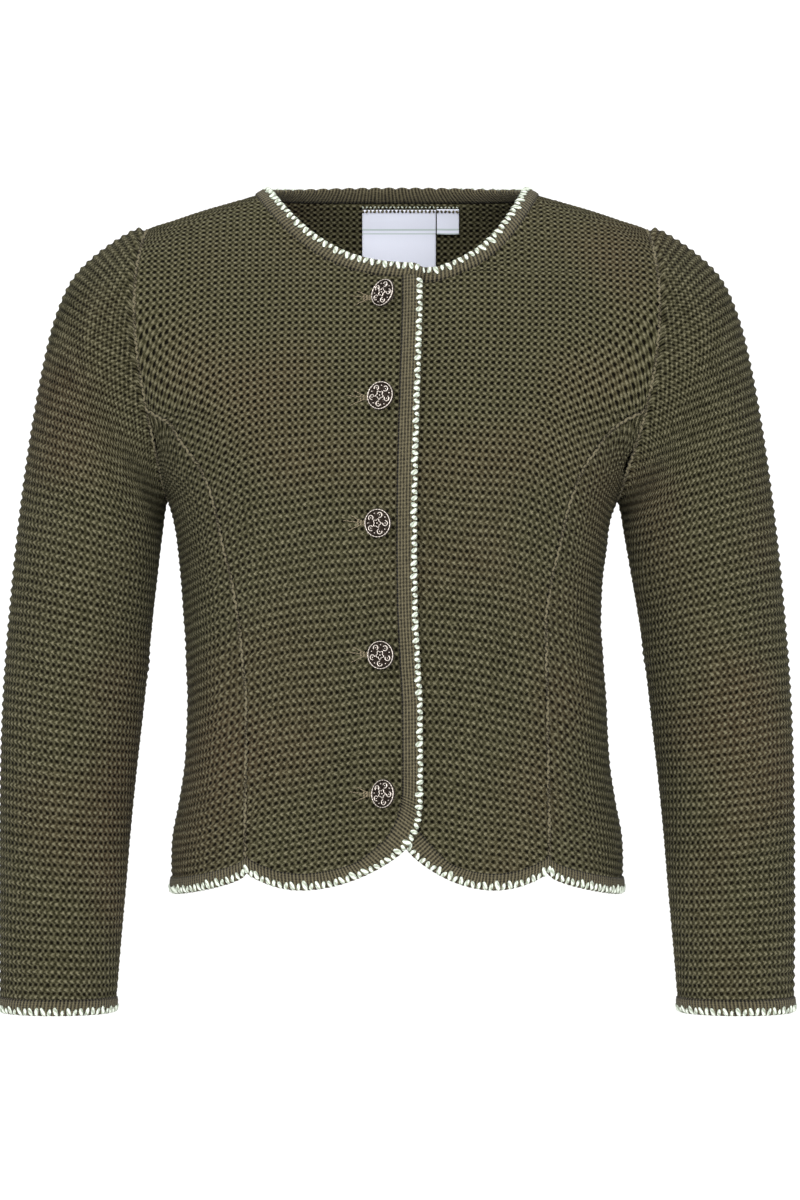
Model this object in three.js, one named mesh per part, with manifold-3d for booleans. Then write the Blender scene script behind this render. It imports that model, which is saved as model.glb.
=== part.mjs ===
// A trachten cardigan for a child, knitted in garter stitch, in its worn shape with nobody in it.
// Millimetres, +X is the wearer's left, -Y the front, +Z up.
// The origin is the middle of the neck opening at the height of the shoulders.
import * as THREE from 'three';
import { mergeVertices } from 'three/addons/utils/BufferGeometryUtils.js';
import Module from 'manifold-3d';

const wasm = await Module();
wasm.setup();

// Driving sizes
const WALL = 2.4;
const HALF_GAP = 0.16;
const SQUARENESS = 2.4;
const NECK_LOW_X = 14;
const NECK_EDGE = { half: 66, drop: 42, rise: 3 };
const NECK_SEAM = { half: 74.6, drop: 46.6, rise: 0.8 };
const NECK_TUCK = { half: 71, drop: 44.4, rise: 1.5 };
const TUCK = 0.35;
const NECK_ROUND = { right: 2.8, left: 2.5, back: 2.5 };
const PLACKET_EDGE_X = 13.2;
const PLACKET_ROOT_X = 2.1;
const OVERLAP_DEPTH = 4.6;
const OVERLAP = { full: 17, none: 36 };
const HEM_BAND = 9;
const HEM_MEAN_Z = -353;
const HEM_START_Z = -200;
const ARMHOLE_CUP = 9;
const CUP_LEAN = 0.4;
const PRINCESS_TOP_Z = -116.5;
const UNDERARM_Z = -162.5;
const CORNER_EASE = 14;
const LEAN_FADE = { from: 112, to: 136 };
const BUTTON = { radius: 7.5, x: -6, lift: 0.3, sides: 18, top: 3.7 };

// Fineness of the surfaces and of the measuring
const PANEL_COLUMNS = { front: 9, side: 5, back: 18 };
const LABEL_GRID = 6;
const STATION_STEP = { neck: 8, hem: 7.5 };
const EDGE_STEPS = 22;
const PATH_STEPS = 400;
const TURN_STEP = 0.002;
const HEIGHT_STEP = 0.25;
const RING_STEP = 0.02;
const HALVINGS = 30;
const MERGE_DISTANCE = 1e-4;

// Shares of the neck band's length on each front, and where the right front's part begins
const NECK_FRONT_SHARE = 0.33;
const NECK_START = 0.01;

// Middles of the neck band's last stations, which lie under the right front
const NECK_UNDERLAP_X = [6, -4, -PLACKET_EDGE_X];

// The hem band starts this far past the corner's seam; its edge catches up within one part in this many
const HEM_LEAD = 0.5;
const CATCH_UP = 6;

// Body sections from the neck down: half width at the side, depth to the front and to the back
const BODY_SECTIONS = [
  { z: 6, half: 60, front: 14, back: 38 },
  { z: 4, half: 63, front: 16, back: 40 },
  { z: 1, half: 66, front: 20, back: 42.5 },
  { z: -4.5, half: 79, front: 25, back: 46 },
  { z: -11, half: 101, front: 30, back: 50 },
  { z: -16, half: 116, front: 34, back: 53 },
  { z: -21.5, half: 131, front: 37.5, back: 55.5 },
  { z: -40, half: 138, front: 48, back: 62 },
  { z: -60, half: 138, front: 58, back: 67 },
  { z: -90, half: 136, front: 68, back: 72 },
  { z: -120, half: 130, front: 75, back: 74 },
  { z: -162.5, half: 118, front: 78, back: 73 },
  { z: -173, half: 114.5, front: 77.5, back: 72 },
  { z: -184, half: 112.4, front: 77, back: 71 },
  { z: -215, half: 109.8, front: 73, back: 67 },
  { z: -246, half: 109.4, front: 71, back: 66 },
  { z: -270, half: 109.8, front: 72, back: 67.5 },
  { z: -300, half: 111.3, front: 75, back: 71 },
  { z: -320, half: 114.2, front: 77, back: 74 },
  { z: -341, half: 117.9, front: 79, back: 76.5 },
  { z: -372, half: 118, front: 80, back: 78 },
];

// The princess seam's distance from the middle at each height
const PRINCESS_SEAM = [
  { z: -116.5, x: 129 },
  { z: -124, x: 116.7 },
  { z: -133.4, x: 108.8 },
  { z: -143.5, x: 100.6 },
  { z: -154, x: 95 },
  { z: -165, x: 91 },
  { z: -190, x: 85.5 },
  { z: -204, x: 82 },
  { z: -230, x: 78.5 },
  { z: -275, x: 77 },
  { z: -372, x: 78 },
];

// How far the body stands to the wearer's right of the middle at each height
const LEAN = [
  { z: 10, x: 0 },
  { z: -60, x: 0 },
  { z: -110, x: -1.5 },
  { z: -163, x: -2.8 },
  { z: -215, x: -2.6 },
  { z: -246, x: -1.3 },
  { z: -270, x: 0 },
  { z: -440, x: 0 },
];

// Scallops of the hem: the peak at the middle front, at the princess seams and at the middle back
const HEM = {
  frontPeak: { x: 4.5, z: -341 },
  seamPeak: { x: 77.5, z: -354.3 },
  frontLowZ: -363,
  frontLowX: 50.5,
  sideLowZ: -368.5,
  backPeakZ: -345,
  backLowCloser: 3,
  frontPower: 0.75,
  sidePower: 0.5,
};

// Lower corners of the fronts: the outer edge and the seam between the band and the panel
const RIGHT_CORNER = [
  { x: 13.2, z: -300, rootX: 2.1, rootZ: -300 },
  { x: 12.9, z: -318, rootX: 1.9, rootZ: -313 },
  { x: 11.2, z: -330, rootX: 0.6, rootZ: -321.5 },
  { x: 7.4, z: -338.5, rootX: -2.2, rootZ: -329.5 },
  { x: 1.6, z: -344.5, rootX: -6.4, rootZ: -336.5 },
];
const LEFT_CORNER = [
  { x: -13.2, z: -300, rootX: -2.1, rootZ: -300 },
  { x: -12.4, z: -316, rootX: -1.2, rootZ: -309 },
  { x: -8.6, z: -329, rootX: 2, rootZ: -317 },
  { x: -2.4, z: -337, rootX: 7, rootZ: -325.5 },
  { x: 4.5, z: -342, rootX: 13, rootZ: -333.5 },
];

// Sleeve rings from the armhole to the cuff: the outer and the inner point seen from the front,
// the depth to the front and back, and how far the ring's middle is cupped outward
const SLEEVE_RINGS = [
  { outX: 131, outZ: -21.5, inX: 118, inZ: -162.5, depth: 44, cup: 9 },
  { outX: 137.5, outZ: -20.6, inX: 118.6, inZ: -164.2, depth: 45, cup: 9 },
  { outX: 156, outZ: -32.3, inX: 119, inZ: -166, depth: 46, cup: 8 },
  { outX: 170.4, outZ: -47, inX: 119.4, inZ: -167.8, depth: 46, cup: 7 },
  { outX: 179.6, outZ: -68, inX: 119.8, inZ: -169.8, depth: 45.5, cup: 5 },
  { outX: 185.2, outZ: -90, inX: 120.1, inZ: -172.2, depth: 45, cup: 3.5 },
  { outX: 189.7, outZ: -113, inX: 120.6, inZ: -175.8, depth: 44, cup: 2 },
  { outX: 193.8, outZ: -138, inX: 121.4, inZ: -181.5, depth: 43, cup: 1 },
  { outX: 197.6, outZ: -166, inX: 123, inZ: -192, depth: 42, cup: 0 },
  { outX: 200.8, outZ: -194, inX: 125, inZ: -206, depth: 41, cup: 0 },
  { outX: 203.2, outZ: -219, inX: 127.4, inZ: -223, depth: 40, cup: 0 },
  { outX: 205.6, outZ: -247, inX: 130.4, inZ: -247.5, depth: 38.5, cup: 0 },
  { outX: 207.2, outZ: -275, inX: 133.4, inZ: -275, depth: 37, cup: 0 },
  { outX: 208.2, outZ: -305, inX: 136.8, inZ: -305, depth: 35, cup: 0 },
  { outX: 208.6, outZ: -335, inX: 139.8, inZ: -335, depth: 33, cup: 0 },
  { outX: 208.8, outZ: -365, inX: 142.3, inZ: -365, depth: 31, cup: 0 },
  { outX: 208.7, outZ: -395, inX: 145, inZ: -395, depth: 29.5, cup: 0 },
  { outX: 208.4, outZ: -422.6, inX: 147.3, inZ: -422.6, depth: 28, cup: 0 },
];
const CUFF_END = { outX: 208, outZ: -431.2, inX: 148.2, inZ: -431.2, depth: 27.6, cup: 0 };

// The largest folds: a trough where depth is below zero, placed on the body as seen from the front
const FOLDS = [
  { x: -119, z: -128, back: false, tilt: 52, length: 20, width: 6, depth: -2.2 },
  { x: 117, z: -140, back: false, tilt: -48, length: 24, width: 7, depth: -2.6 },
  { x: 103, z: -176, back: false, tilt: -60, length: 22, width: 8, depth: 1.4 },
  { x: -112, z: -133, back: true, tilt: 50, length: 22, width: 7, depth: -2.2 },
  { x: 112, z: -133, back: true, tilt: -50, length: 22, width: 7, depth: -2.2 },
];

// Heights of the rows of the body's walls, above the hem
const BODY_ROWS = [
  -1.9, -5, -9, -14.5, -21.5, -27, -36, -47, -58, -70, -82, -94, -106, -116.5, -118.5, -126, -138, -150,
  -162.5, -174, -190, -210, -234, -258, -282, -304, -324, -340,
];

// Section of the rolled rib band: across from the seam to the edge, and rise above the cloth's face
const BAND_SECTION = [
  { across: 0, rise: 0.1 },
  { across: 0.3, rise: 1.1 },
  { across: 0.82, rise: 1.1 },
  { across: 1, rise: -0.8 },
  { across: 0.8, rise: -2.7 },
  { across: 0, rise: -2.4 },
];

// Section of the room that a panel leaves for a band
const ROOM_SECTION = [
  { across: -0.034, rise: 5 },
  { across: 1, rise: 5 },
  { across: 1, rise: -6 },
  { across: -0.034, rise: -6 },
];
const ROOM_BEYOND = 3;

// Heights of the buttons' middles, and how far the pull of the buttonhole turns each to the wearer's right
const BUTTONS = [
  { z: -60.2, turned: 40 },
  { z: -112, turned: 26 },
  { z: -175.8, turned: 24 },
  { z: -242.8, turned: 24 },
  { z: -314, turned: 38 },
];

// Profile of a button above its shank: radius as a share of its own, height above its back
const SHANK_SHARE = 0.24;
const BUTTON_PROFILE = [
  { share: 0.26, height: 0.9, petal: 0 },
  { share: 0.9, height: 1, petal: 0 },
  { share: 1, height: 1.5, petal: 0 },
  { share: 0.98, height: 2.3, petal: 0 },
  { share: 0.86, height: 2.5, petal: 0 },
  { share: 0.78, height: 1.9, petal: 0 },
  { share: 0.56, height: 2.6, petal: 0.5 },
  { share: 0.34, height: 2.5, petal: 0.3 },
  { share: 0.26, height: 3.3, petal: 0 },
];
const PETALS = 6;

const LABELS = [
  { name: 'label_main', from: -18.7, to: 20.9, top: -5, bottom: -41, lift: 0.4, lean: 1.6 },
  { name: 'label_size', from: 21.5, to: 33.4, top: -4.6, bottom: -17.2, lift: 0.4, lean: 0.8 },
];
const LABEL_THICKNESS = 1;

const FINISHES = {
  knit: new THREE.MeshStandardMaterial({ color: 0x5a5640, roughness: 0.95, metalness: 0 }),
  rib: new THREE.MeshStandardMaterial({ color: 0x524e3a, roughness: 0.95, metalness: 0 }),
  silver: new THREE.MeshStandardMaterial({ color: 0xa9a6a0, roughness: 0.35, metalness: 1 }),
  label: new THREE.MeshStandardMaterial({ color: 0xe4e6ec, roughness: 0.7, metalness: 0 }),
};

// Small tools for numbers and tables

function clamp(value, low, high) {
  return Math.min(high, Math.max(low, value));
}

function mix(a, b, share) {
  return a + (b - a) * share;
}

function smooth(value, from, to) {
  const share = clamp((value - from) / (to - from), 0, 1);
  return share * share * (3 - 2 * share);
}

function signedPower(value, power) {
  return Math.sign(value) * Math.abs(value) ** power;
}

// A smooth value from a table whose rows run down in z
function fromTable(rows, column, z) {
  const last = rows.length - 1;
  if (z >= rows[0].z) return rows[0][column];
  if (z <= rows[last].z) return rows[last][column];
  let low = 0;
  while (rows[low + 1].z > z) low += 1;
  const slope = (row) => {
    const before = rows[Math.max(0, row - 1)];
    const after = rows[Math.min(last, row + 1)];
    return (after[column] - before[column]) / (after.z - before.z);
  };
  const step = rows[low + 1].z - rows[low].z;
  const t = (z - rows[low].z) / step;
  const rise = t * t * (3 - 2 * t);
  return mix(rows[low][column], rows[low + 1][column], rise)
    + step * (t * (1 - t) * (1 - t) * slope(low) - t * t * (1 - t) * slope(low + 1));
}

// A straight value from a table, read by any of its columns
function between(rows, key, column, value) {
  const falling = rows[0][key] > rows[rows.length - 1][key];
  const passed = (row) => (falling ? row[key] <= value : row[key] >= value);
  const found = rows.findIndex(passed);
  const next = found < 0 ? rows.length - 1 : Math.max(1, found);
  const share = clamp((value - rows[next - 1][key]) / (rows[next][key] - rows[next - 1][key]), 0, 1);
  return mix(rows[next - 1][column], rows[next][column], share);
}

// The body's surface

// The armhole's edge at a height: its distance from the middle and its depth
function armholeAt(z) {
  const top = SLEEVE_RINGS[0];
  const along = clamp((z - (top.outZ + top.inZ) / 2) / ((top.outZ - top.inZ) / 2), -1, 1);
  const round = Math.sqrt(1 - along * along);
  const middle = (top.outX + top.inX) / 2;
  const x = middle + (top.outX - top.inX) / 2 * along + ARMHOLE_CUP * round * round * (1 + CUP_LEAN * along);
  return { x, depth: top.depth * round };
}

// Half the body's width at a height; through the armhole's height the surface passes through its edge
function halfWidth(z, toBack) {
  if (z > SLEEVE_RINGS[0].outZ || z < UNDERARM_Z) return fromTable(BODY_SECTIONS, 'half', z);
  const edge = armholeAt(z);
  const depth = fromTable(BODY_SECTIONS, toBack ? 'back' : 'front', z);
  return edge.x / (1 - (edge.depth / depth) ** SQUARENESS) ** (1 / SQUARENESS);
}

// A point of the body: turn 0 is the middle front, a quarter turn the wearer's left side
function bodyPoint(turn, z) {
  const toBack = Math.cos(turn) < 0;
  const depth = fromTable(BODY_SECTIONS, toBack ? 'back' : 'front', z);
  const x = halfWidth(z, toBack) * signedPower(Math.sin(turn), 2 / SQUARENESS);
  return new THREE.Vector3(x, -depth * signedPower(Math.cos(turn), 2 / SQUARENESS), z);
}

function turnAt(x, z, toBack) {
  const share = clamp(Math.abs(x) / halfWidth(z, toBack), 0, 1);
  const turn = Math.asin(share ** (SQUARENESS / 2));
  return (x < 0 ? -1 : 1) * (toBack ? Math.PI - turn : turn);
}

function bodyNormal(turn, z) {
  const across = bodyPoint(turn + TURN_STEP, z).sub(bodyPoint(turn - TURN_STEP, z));
  const up = bodyPoint(turn, z + HEIGHT_STEP).sub(bodyPoint(turn, z - HEIGHT_STEP));
  return across.cross(up).normalize();
}

// How far the folds lift or sink the cloth at a point
function foldRise(point) {
  let rise = 0;
  for (const fold of FOLDS) {
    if (fold.back !== point.y > 0) continue;
    const angle = THREE.MathUtils.degToRad(fold.tilt);
    const right = point.x - fold.x;
    const up = point.z - fold.z;
    const along = (right * Math.cos(angle) + up * Math.sin(angle)) / fold.length;
    const across = (up * Math.cos(angle) - right * Math.sin(angle)) / fold.width;
    rise += fold.depth * Math.exp(-along * along - across * across);
  }
  return rise;
}

// The wearer's left front dips under the right one
function overlapDip(x) {
  return OVERLAP_DEPTH * (1 - smooth(x, OVERLAP.full, OVERLAP.none));
}

// A place on the cloth: its outer point and the way out of it
function clothAt(turn, z, dips) {
  const normal = bodyNormal(turn, z);
  const point = bodyPoint(turn, z);
  const rise = foldRise(point) - (dips ? overlapDip(point.x) : 0);
  return { point: point.addScaledVector(normal, rise), normal };
}

// The whole garment leans a little to the wearer's right at the waist; the sleeves' outer sides stay
function lean(point) {
  const share = 1 - smooth(Math.abs(point.x), LEAN_FADE.from, LEAN_FADE.to);
  return new THREE.Vector3(point.x + share * fromTable(LEAN, 'x', point.z), point.y, point.z);
}

// Neck lines

function ridgeHeight(x) {
  let high = 6;
  let low = SLEEVE_RINGS[0].outZ;
  for (let turn = 0; turn < HALVINGS; turn += 1) {
    const middle = (high + low) / 2;
    if (fromTable(BODY_SECTIONS, 'half', middle) < x) high = middle;
    else low = middle;
  }
  return (high + low) / 2;
}

// A front neck line as a place: share 0 at its lowest point, 1 at the shoulder
function frontNeckPlace(line, side, share) {
  const reach = line.half - side * NECK_LOW_X;
  const power = side < 0 ? NECK_ROUND.right : NECK_ROUND.left;
  return {
    x: NECK_LOW_X + side * share * reach,
    z: ridgeHeight(line.half) - line.drop * (1 - share ** power),
  };
}

function frontNeckX(line, side, z) {
  const power = side < 0 ? NECK_ROUND.right : NECK_ROUND.left;
  const share = clamp(1 - (ridgeHeight(line.half) - z) / line.drop, 0, 1) ** (1 / power);
  return frontNeckPlace(line, side, share).x;
}

function backNeckHeight(line, x) {
  const share = clamp(Math.abs(x) / line.half, 0, 1);
  return ridgeHeight(line.half) + line.rise * (1 - share ** NECK_ROUND.back);
}

// Hem lines

function scallop(share, power) {
  return Math.sin(Math.PI / 2 * clamp(share, 0, 1)) ** power;
}

// Height of the hem's lower edge at a turn round the body
function hemHeight(turn) {
  const toBack = Math.cos(turn) < 0;
  const x = bodyPoint(turn, HEM_MEAN_Z).x;
  const peak = HEM.seamPeak;
  if (Math.abs(x) < peak.x) {
    const middle = toBack ? 0 : HEM.frontPeak.x;
    const top = toBack ? HEM.backPeakZ : HEM.frontPeak.z;
    const side = x < middle ? -1 : 1;
    const span = HEM.frontLowX - (toBack ? 0 : side * middle) - (toBack ? HEM.backLowCloser : 0);
    const away = Math.abs(x - middle);
    if (away < span) return mix(top, HEM.frontLowZ, scallop(away / span, HEM.frontPower));
    const left = (peak.x - Math.abs(x)) / (peak.x - Math.abs(middle + side * span));
    return mix(peak.z, HEM.frontLowZ, scallop(left, HEM.frontPower));
  }
  const seamTurn = Math.abs(turnAt(peak.x, HEM_MEAN_Z, false));
  const fromFront = Math.abs(Math.atan2(Math.sin(turn), Math.cos(turn)));
  const away = toBack ? Math.PI - fromFront - seamTurn : fromFront - seamTurn;
  return mix(peak.z, HEM.sideLowZ, scallop(away / (Math.PI / 2 - seamTurn), HEM.sidePower));
}

// Height of the seam between the hem band and the panels, or of the panels' edge tucked below it
function hemSeamHeight(turn, corner, tucked) {
  const x = bodyPoint(turn, HEM_MEAN_Z).x;
  const plain = hemHeight(turn) + HEM_BAND * (tucked ? 1 - TUCK : 1);
  if (!corner || Math.cos(turn) < 0) return plain;
  const last = tucked ? tuckedRow(corner[corner.length - 1]) : corner[corner.length - 1];
  const passed = Math.abs(x - last.rootX) / CORNER_EASE;
  const inside = corner === RIGHT_CORNER ? x > last.rootX : x < last.rootX;
  if (inside) return last.rootZ;
  const atCorner = hemHeight(turnAt(last.rootX, HEM_MEAN_Z, false)) + HEM_BAND * (tucked ? 1 - TUCK : 1);
  return plain + (last.rootZ - atCorner) * (1 - clamp(passed, 0, 1));
}

// A corner row's place a little way from the seam towards the edge, where the panel's own edge lies
function tuckedRow(row) {
  return { ...row, rootX: mix(row.rootX, row.x, TUCK), rootZ: mix(row.rootZ, row.z, TUCK) };
}

// Walls of cloth

// Moves a border column of a grid towards its neighbour, for the gap at a seam
function insetColumn(grid, column, inner) {
  for (const row of grid) {
    const way = row[inner].clone().sub(row[column]);
    row[column].addScaledVector(way.normalize(), HALF_GAP);
  }
}

function insetRow(grid, row, inner) {
  for (let column = 0; column < grid[row].length; column += 1) {
    const way = grid[inner][column].clone().sub(grid[row][column]);
    grid[row][column].addScaledVector(way.normalize(), HALF_GAP);
  }
}

// A closed wall between an outer and an inner grid of points; a tube's columns close on themselves
function wallGeometry(outer, inner, tube) {
  const rows = outer.length;
  const columns = outer[0].length;
  const points = [...outer.flat(), ...inner.flat()].map(lean);
  const size = rows * columns;
  const faces = [];
  const quad = (a, b, c, d) => faces.push(a, b, c, a, c, d);
  const spans = tube ? columns : columns - 1;
  for (let row = 0; row < rows - 1; row += 1) {
    for (let column = 0; column < spans; column += 1) {
      const a = row * columns + column;
      const b = row * columns + (column + 1) % columns;
      const c = b + columns;
      const d = a + columns;
      quad(a, d, c, b);
      quad(size + a, size + b, size + c, size + d);
    }
  }
  for (let column = 0; column < spans; column += 1) {
    const next = (column + 1) % columns;
    const base = (rows - 1) * columns;
    quad(column, next, size + next, size + column);
    quad(base + next, base + column, size + base + column, size + base + next);
  }
  for (let row = 0; !tube && row < rows - 1; row += 1) {
    const a = row * columns;
    const b = a + columns;
    const c = a + columns - 1;
    const d = b + columns - 1;
    quad(b, a, size + a, size + b);
    quad(c, d, size + d, size + c);
  }
  const geometry = new THREE.BufferGeometry();
  geometry.setAttribute('position', new THREE.Float32BufferAttribute(points.flatMap((p) => p.toArray()), 3));
  geometry.setIndex(faces);
  return geometry;
}

function pieceMesh(name, geometry, finish) {
  geometry.computeVertexNormals();
  const mesh = new THREE.Mesh(geometry, finish);
  mesh.name = name;
  return mesh;
}

// A body panel from a function that gives the turn and height of each of its places
function bodyPanel(name, rows, columns, place, dips) {
  const outer = [];
  const inner = [];
  for (let row = 0; row < rows; row += 1) {
    outer.push([]);
    inner.push([]);
    for (let column = 0; column <= columns; column += 1) {
      const { turn, z } = place(row, column / columns);
      const { point, normal } = clothAt(turn, z, dips);
      outer[row].push(point);
      inner[row].push(point.clone().addScaledVector(normal, -WALL));
    }
  }
  for (const grid of [outer, inner]) {
    insetColumn(grid, 0, 1);
    insetColumn(grid, columns, columns - 1);
    insetRow(grid, 0, 1);
    insetRow(grid, rows - 1, rows - 2);
  }
  return pieceMesh(name, wallGeometry(outer, inner, false), FINISHES.knit);
}

// Where a row lies: level near the top, following the hem further down
function rowHeight(nominal, turn, corner) {
  const share = smooth(-nominal, -HEM_START_Z, -HEM_MEAN_Z);
  return nominal + share * (hemSeamHeight(turn, corner, true) - HEM_MEAN_Z);
}

// The place at a share between two borders, each a function from height to turn
function placeBetween(nominal, share, from, to, corner) {
  let low = from(nominal);
  let high = to(nominal);
  for (let round = 0; round < 4; round += 1) {
    low = from(rowHeight(nominal, low, corner));
    high = to(rowHeight(nominal, high, corner));
  }
  const turn = mix(low, high, share);
  return { turn, z: rowHeight(nominal, turn, corner) };
}

// The turn of the front panel's outer border: shoulder, armhole, then the princess seam
function outerTurn(side, z) {
  if (z > SLEEVE_RINGS[0].outZ) return side * Math.PI / 2;
  const x = z > PRINCESS_TOP_Z ? armholeAt(z).x : fromTable(PRINCESS_SEAM, 'x', z);
  return turnAt(side * x, z, false);
}

// The turn of the front panel's inner border: under the neck band, then under the front edge's band
function innerTurn(side, corner, z) {
  const tucked = corner.map(tuckedRow);
  const edge = z < tucked[0].rootZ ? between(tucked, 'rootZ', 'rootX', z) : tucked[0].rootX;
  const neck = frontNeckX(NECK_TUCK, side, z);
  const inNeck = side < 0 ? neck < edge : z > ridgeHeight(NECK_TUCK.half) - NECK_TUCK.drop;
  return turnAt(inNeck ? neck : edge, z, false);
}

function frontPanel(name, side, corner, cutters) {
  const rows = [...BODY_ROWS, HEM_MEAN_Z];
  const place = (row, share) => {
    const from = (z) => innerTurn(side, corner, z);
    const to = (z) => outerTurn(side, z);
    return placeBetween(rows[row], side < 0 ? 1 - share : share, from, to, corner);
  };
  return trimmed(bodyPanel(name, rows.length, PANEL_COLUMNS.front, place, side > 0), cutters);
}

function sidePanel(name, side, cutters) {
  const rows = [...BODY_ROWS.filter((z) => z < PRINCESS_TOP_Z), HEM_MEAN_Z];
  const from = (z) => turnAt(side * fromTable(PRINCESS_SEAM, 'x', z), z, false);
  const to = (z) => (z > UNDERARM_Z ? turnAt(side * armholeAt(z).x, z, false) : side * Math.PI / 2);
  const place = (row, share) => placeBetween(rows[row], side < 0 ? 1 - share : share, from, to, null);
  return trimmed(bodyPanel(name, rows.length, PANEL_COLUMNS.side, place, false), cutters);
}

function backPanel(cutters) {
  const rows = [0, ...BODY_ROWS.slice(1), HEM_MEAN_Z];
  const top = ridgeHeight(NECK_TUCK.half);
  const reach = turnAt(NECK_TUCK.half, BODY_ROWS[0], true);
  const border = (z) => {
    if (z > SLEEVE_RINGS[0].outZ || z <= UNDERARM_Z) return Math.PI / 2;
    return turnAt(armholeAt(z).x, z, true);
  };
  const place = (row, share) => {
    if (row === 0) {
      const turn = mix(reach, 2 * Math.PI - reach, share);
      return { turn, z: backNeckHeight(NECK_TUCK, bodyPoint(turn, top).x) };
    }
    return placeBetween(rows[row], share, border, (z) => 2 * Math.PI - border(z), null);
  };
  return trimmed(bodyPanel('back', rows.length, PANEL_COLUMNS.back, place, false), cutters);
}

// Cutting with solids

function solidOf(geometry) {
  const bare = new THREE.BufferGeometry();
  bare.setAttribute('position', geometry.getAttribute('position').clone());
  bare.setIndex([...geometry.getIndex().array]);
  const merged = mergeVertices(bare, MERGE_DISTANCE);
  return new wasm.Manifold(new wasm.Mesh({
    numProp: 3,
    vertProperties: new Float32Array(merged.getAttribute('position').array),
    triVerts: new Uint32Array(merged.getIndex().array),
  }));
}

// Takes the rooms of the bands away from a panel's mesh
function trimmed(mesh, cutters) {
  let solid = solidOf(facingOut(mesh.geometry));
  for (const cutter of cutters) solid = solid.subtract(cutter);
  const cut = solid.getMesh();
  const geometry = new THREE.BufferGeometry();
  geometry.setAttribute('position', new THREE.BufferAttribute(new Float32Array(cut.vertProperties), 3));
  geometry.setIndex([...cut.triVerts]);
  return pieceMesh(mesh.name, geometry, mesh.material);
}

// Sleeves

function ringValue(column, along) {
  const rows = SLEEVE_RINGS.map((ring, index) => ({ z: -index, value: ring[column] }));
  return fromTable(rows, 'value', -along);
}

// A point of a sleeve: along counts rings from the armhole, turn 0 is the outer line
function sleevePoint(along, turn, side, ring = null) {
  const value = (column) => (ring ? ring[column] : ringValue(column, along));
  const round = Math.sin(turn);
  const level = Math.cos(turn);
  const cup = value('cup') * round * round * (1 + CUP_LEAN * level);
  const x = mix(value('inX'), value('outX'), (1 + level) / 2) + cup;
  const z = mix(value('inZ'), value('outZ'), (1 + level) / 2);
  return new THREE.Vector3(side * x, -value('depth') * round, z);
}

function sleeveNormal(along, turn, side) {
  const near = clamp(along, RING_STEP, SLEEVE_RINGS.length - 1 - RING_STEP);
  const down = sleevePoint(near + RING_STEP, turn, side).sub(sleevePoint(near - RING_STEP, turn, side));
  const around = sleevePoint(near, turn + TURN_STEP, side).sub(sleevePoint(near, turn - TURN_STEP, side));
  const normal = down.cross(around).multiplyScalar(-side).normalize();
  const atArmhole = 1 - smooth(along, 0, 1);
  if (side * normal.x > 0) normal.x *= 1 - atArmhole;
  return normal.normalize();
}

// Turns round a sleeve, set so that its ring at the armhole meets the corners of the body's rows
function sleeveTurns() {
  const { outZ, inZ } = SLEEVE_RINGS[0];
  const heights = BODY_ROWS.filter((z) => z <= outZ && z >= inZ);
  const half = heights.map((z) => Math.acos(clamp((z - (outZ + inZ) / 2) / ((outZ - inZ) / 2), -1, 1)));
  return [...half, ...half.slice(1, -1).reverse().map((turn) => 2 * Math.PI - turn)];
}

function tubeWall(name, alongs, side, finish) {
  const outer = [];
  const inner = [];
  for (const along of alongs) {
    const outerRow = [];
    const innerRow = [];
    for (const turn of sleeveTurns()) {
      const point = sleevePoint(along, turn, side);
      outerRow.push(point);
      innerRow.push(point.clone().addScaledVector(sleeveNormal(along, turn, side), -WALL));
    }
    outer.push(outerRow);
    inner.push(innerRow);
  }
  for (const grid of [outer, inner]) {
    grid[0].forEach((point) => { point.x += side * HALF_GAP; });
    insetRow(grid, grid.length - 1, grid.length - 2);
  }
  return pieceMesh(name, facingOut(wallGeometry(outer, inner, true)), finish);
}

function sleeve(name, side) {
  const alongs = [];
  for (let index = 0; index < SLEEVE_RINGS.length - 1; index += 1) {
    alongs.push(index);
    if (index < 1) alongs.push(index + 0.5);
  }
  alongs.push(SLEEVE_RINGS.length - 1);
  return tubeWall(name, alongs, side, FINISHES.knit);
}

// Rib bands: a rounded section carried along stations from the seam to the edge

function bandGeometry(stations, closed, section = BAND_SECTION) {
  const sides = section.length;
  const points = [];
  for (const station of stations) {
    const across = station.edge.clone().sub(station.root);
    const reach = across.length();
    for (const corner of section) {
      const share = HALF_GAP / reach + corner.across * (1 - HALF_GAP / reach);
      points.push(lean(station.root.clone().addScaledVector(across, share)
        .addScaledVector(station.normal, corner.rise)));
    }
  }
  const faces = [];
  const spans = closed ? stations.length : stations.length - 1;
  for (let span = 0; span < spans; span += 1) {
    const here = span * sides;
    const there = ((span + 1) % stations.length) * sides;
    for (let side = 0; side < sides; side += 1) {
      const next = (side + 1) % sides;
      faces.push(here + side, here + next, there + next, here + side, there + next, there + side);
    }
  }
  if (!closed) {
    const end = (stations.length - 1) * sides;
    for (let side = 1; side < sides - 1; side += 1) {
      faces.push(0, side + 1, side);
      faces.push(end, end + side, end + side + 1);
    }
  }
  const geometry = new THREE.BufferGeometry();
  geometry.setAttribute('position', new THREE.Float32BufferAttribute(points.flatMap((p) => p.toArray()), 3));
  geometry.setIndex(faces);
  return geometry;
}

// The room that a band takes: taller than the cloth, and a little longer and wider than the band
function bandRoom(stations) {
  const beyond = (end, next) => {
    const way = end.edge.clone().sub(next.edge).setLength(ROOM_BEYOND);
    return { edge: end.edge.clone().add(way), root: end.root.clone().add(way), normal: end.normal };
  };
  const count = stations.length;
  const longer = [
    beyond(stations[0], stations[1]), ...stations, beyond(stations[count - 1], stations[count - 2]),
  ];
  return solidOf(facingOut(bandGeometry(longer, false, ROOM_SECTION)));
}

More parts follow.
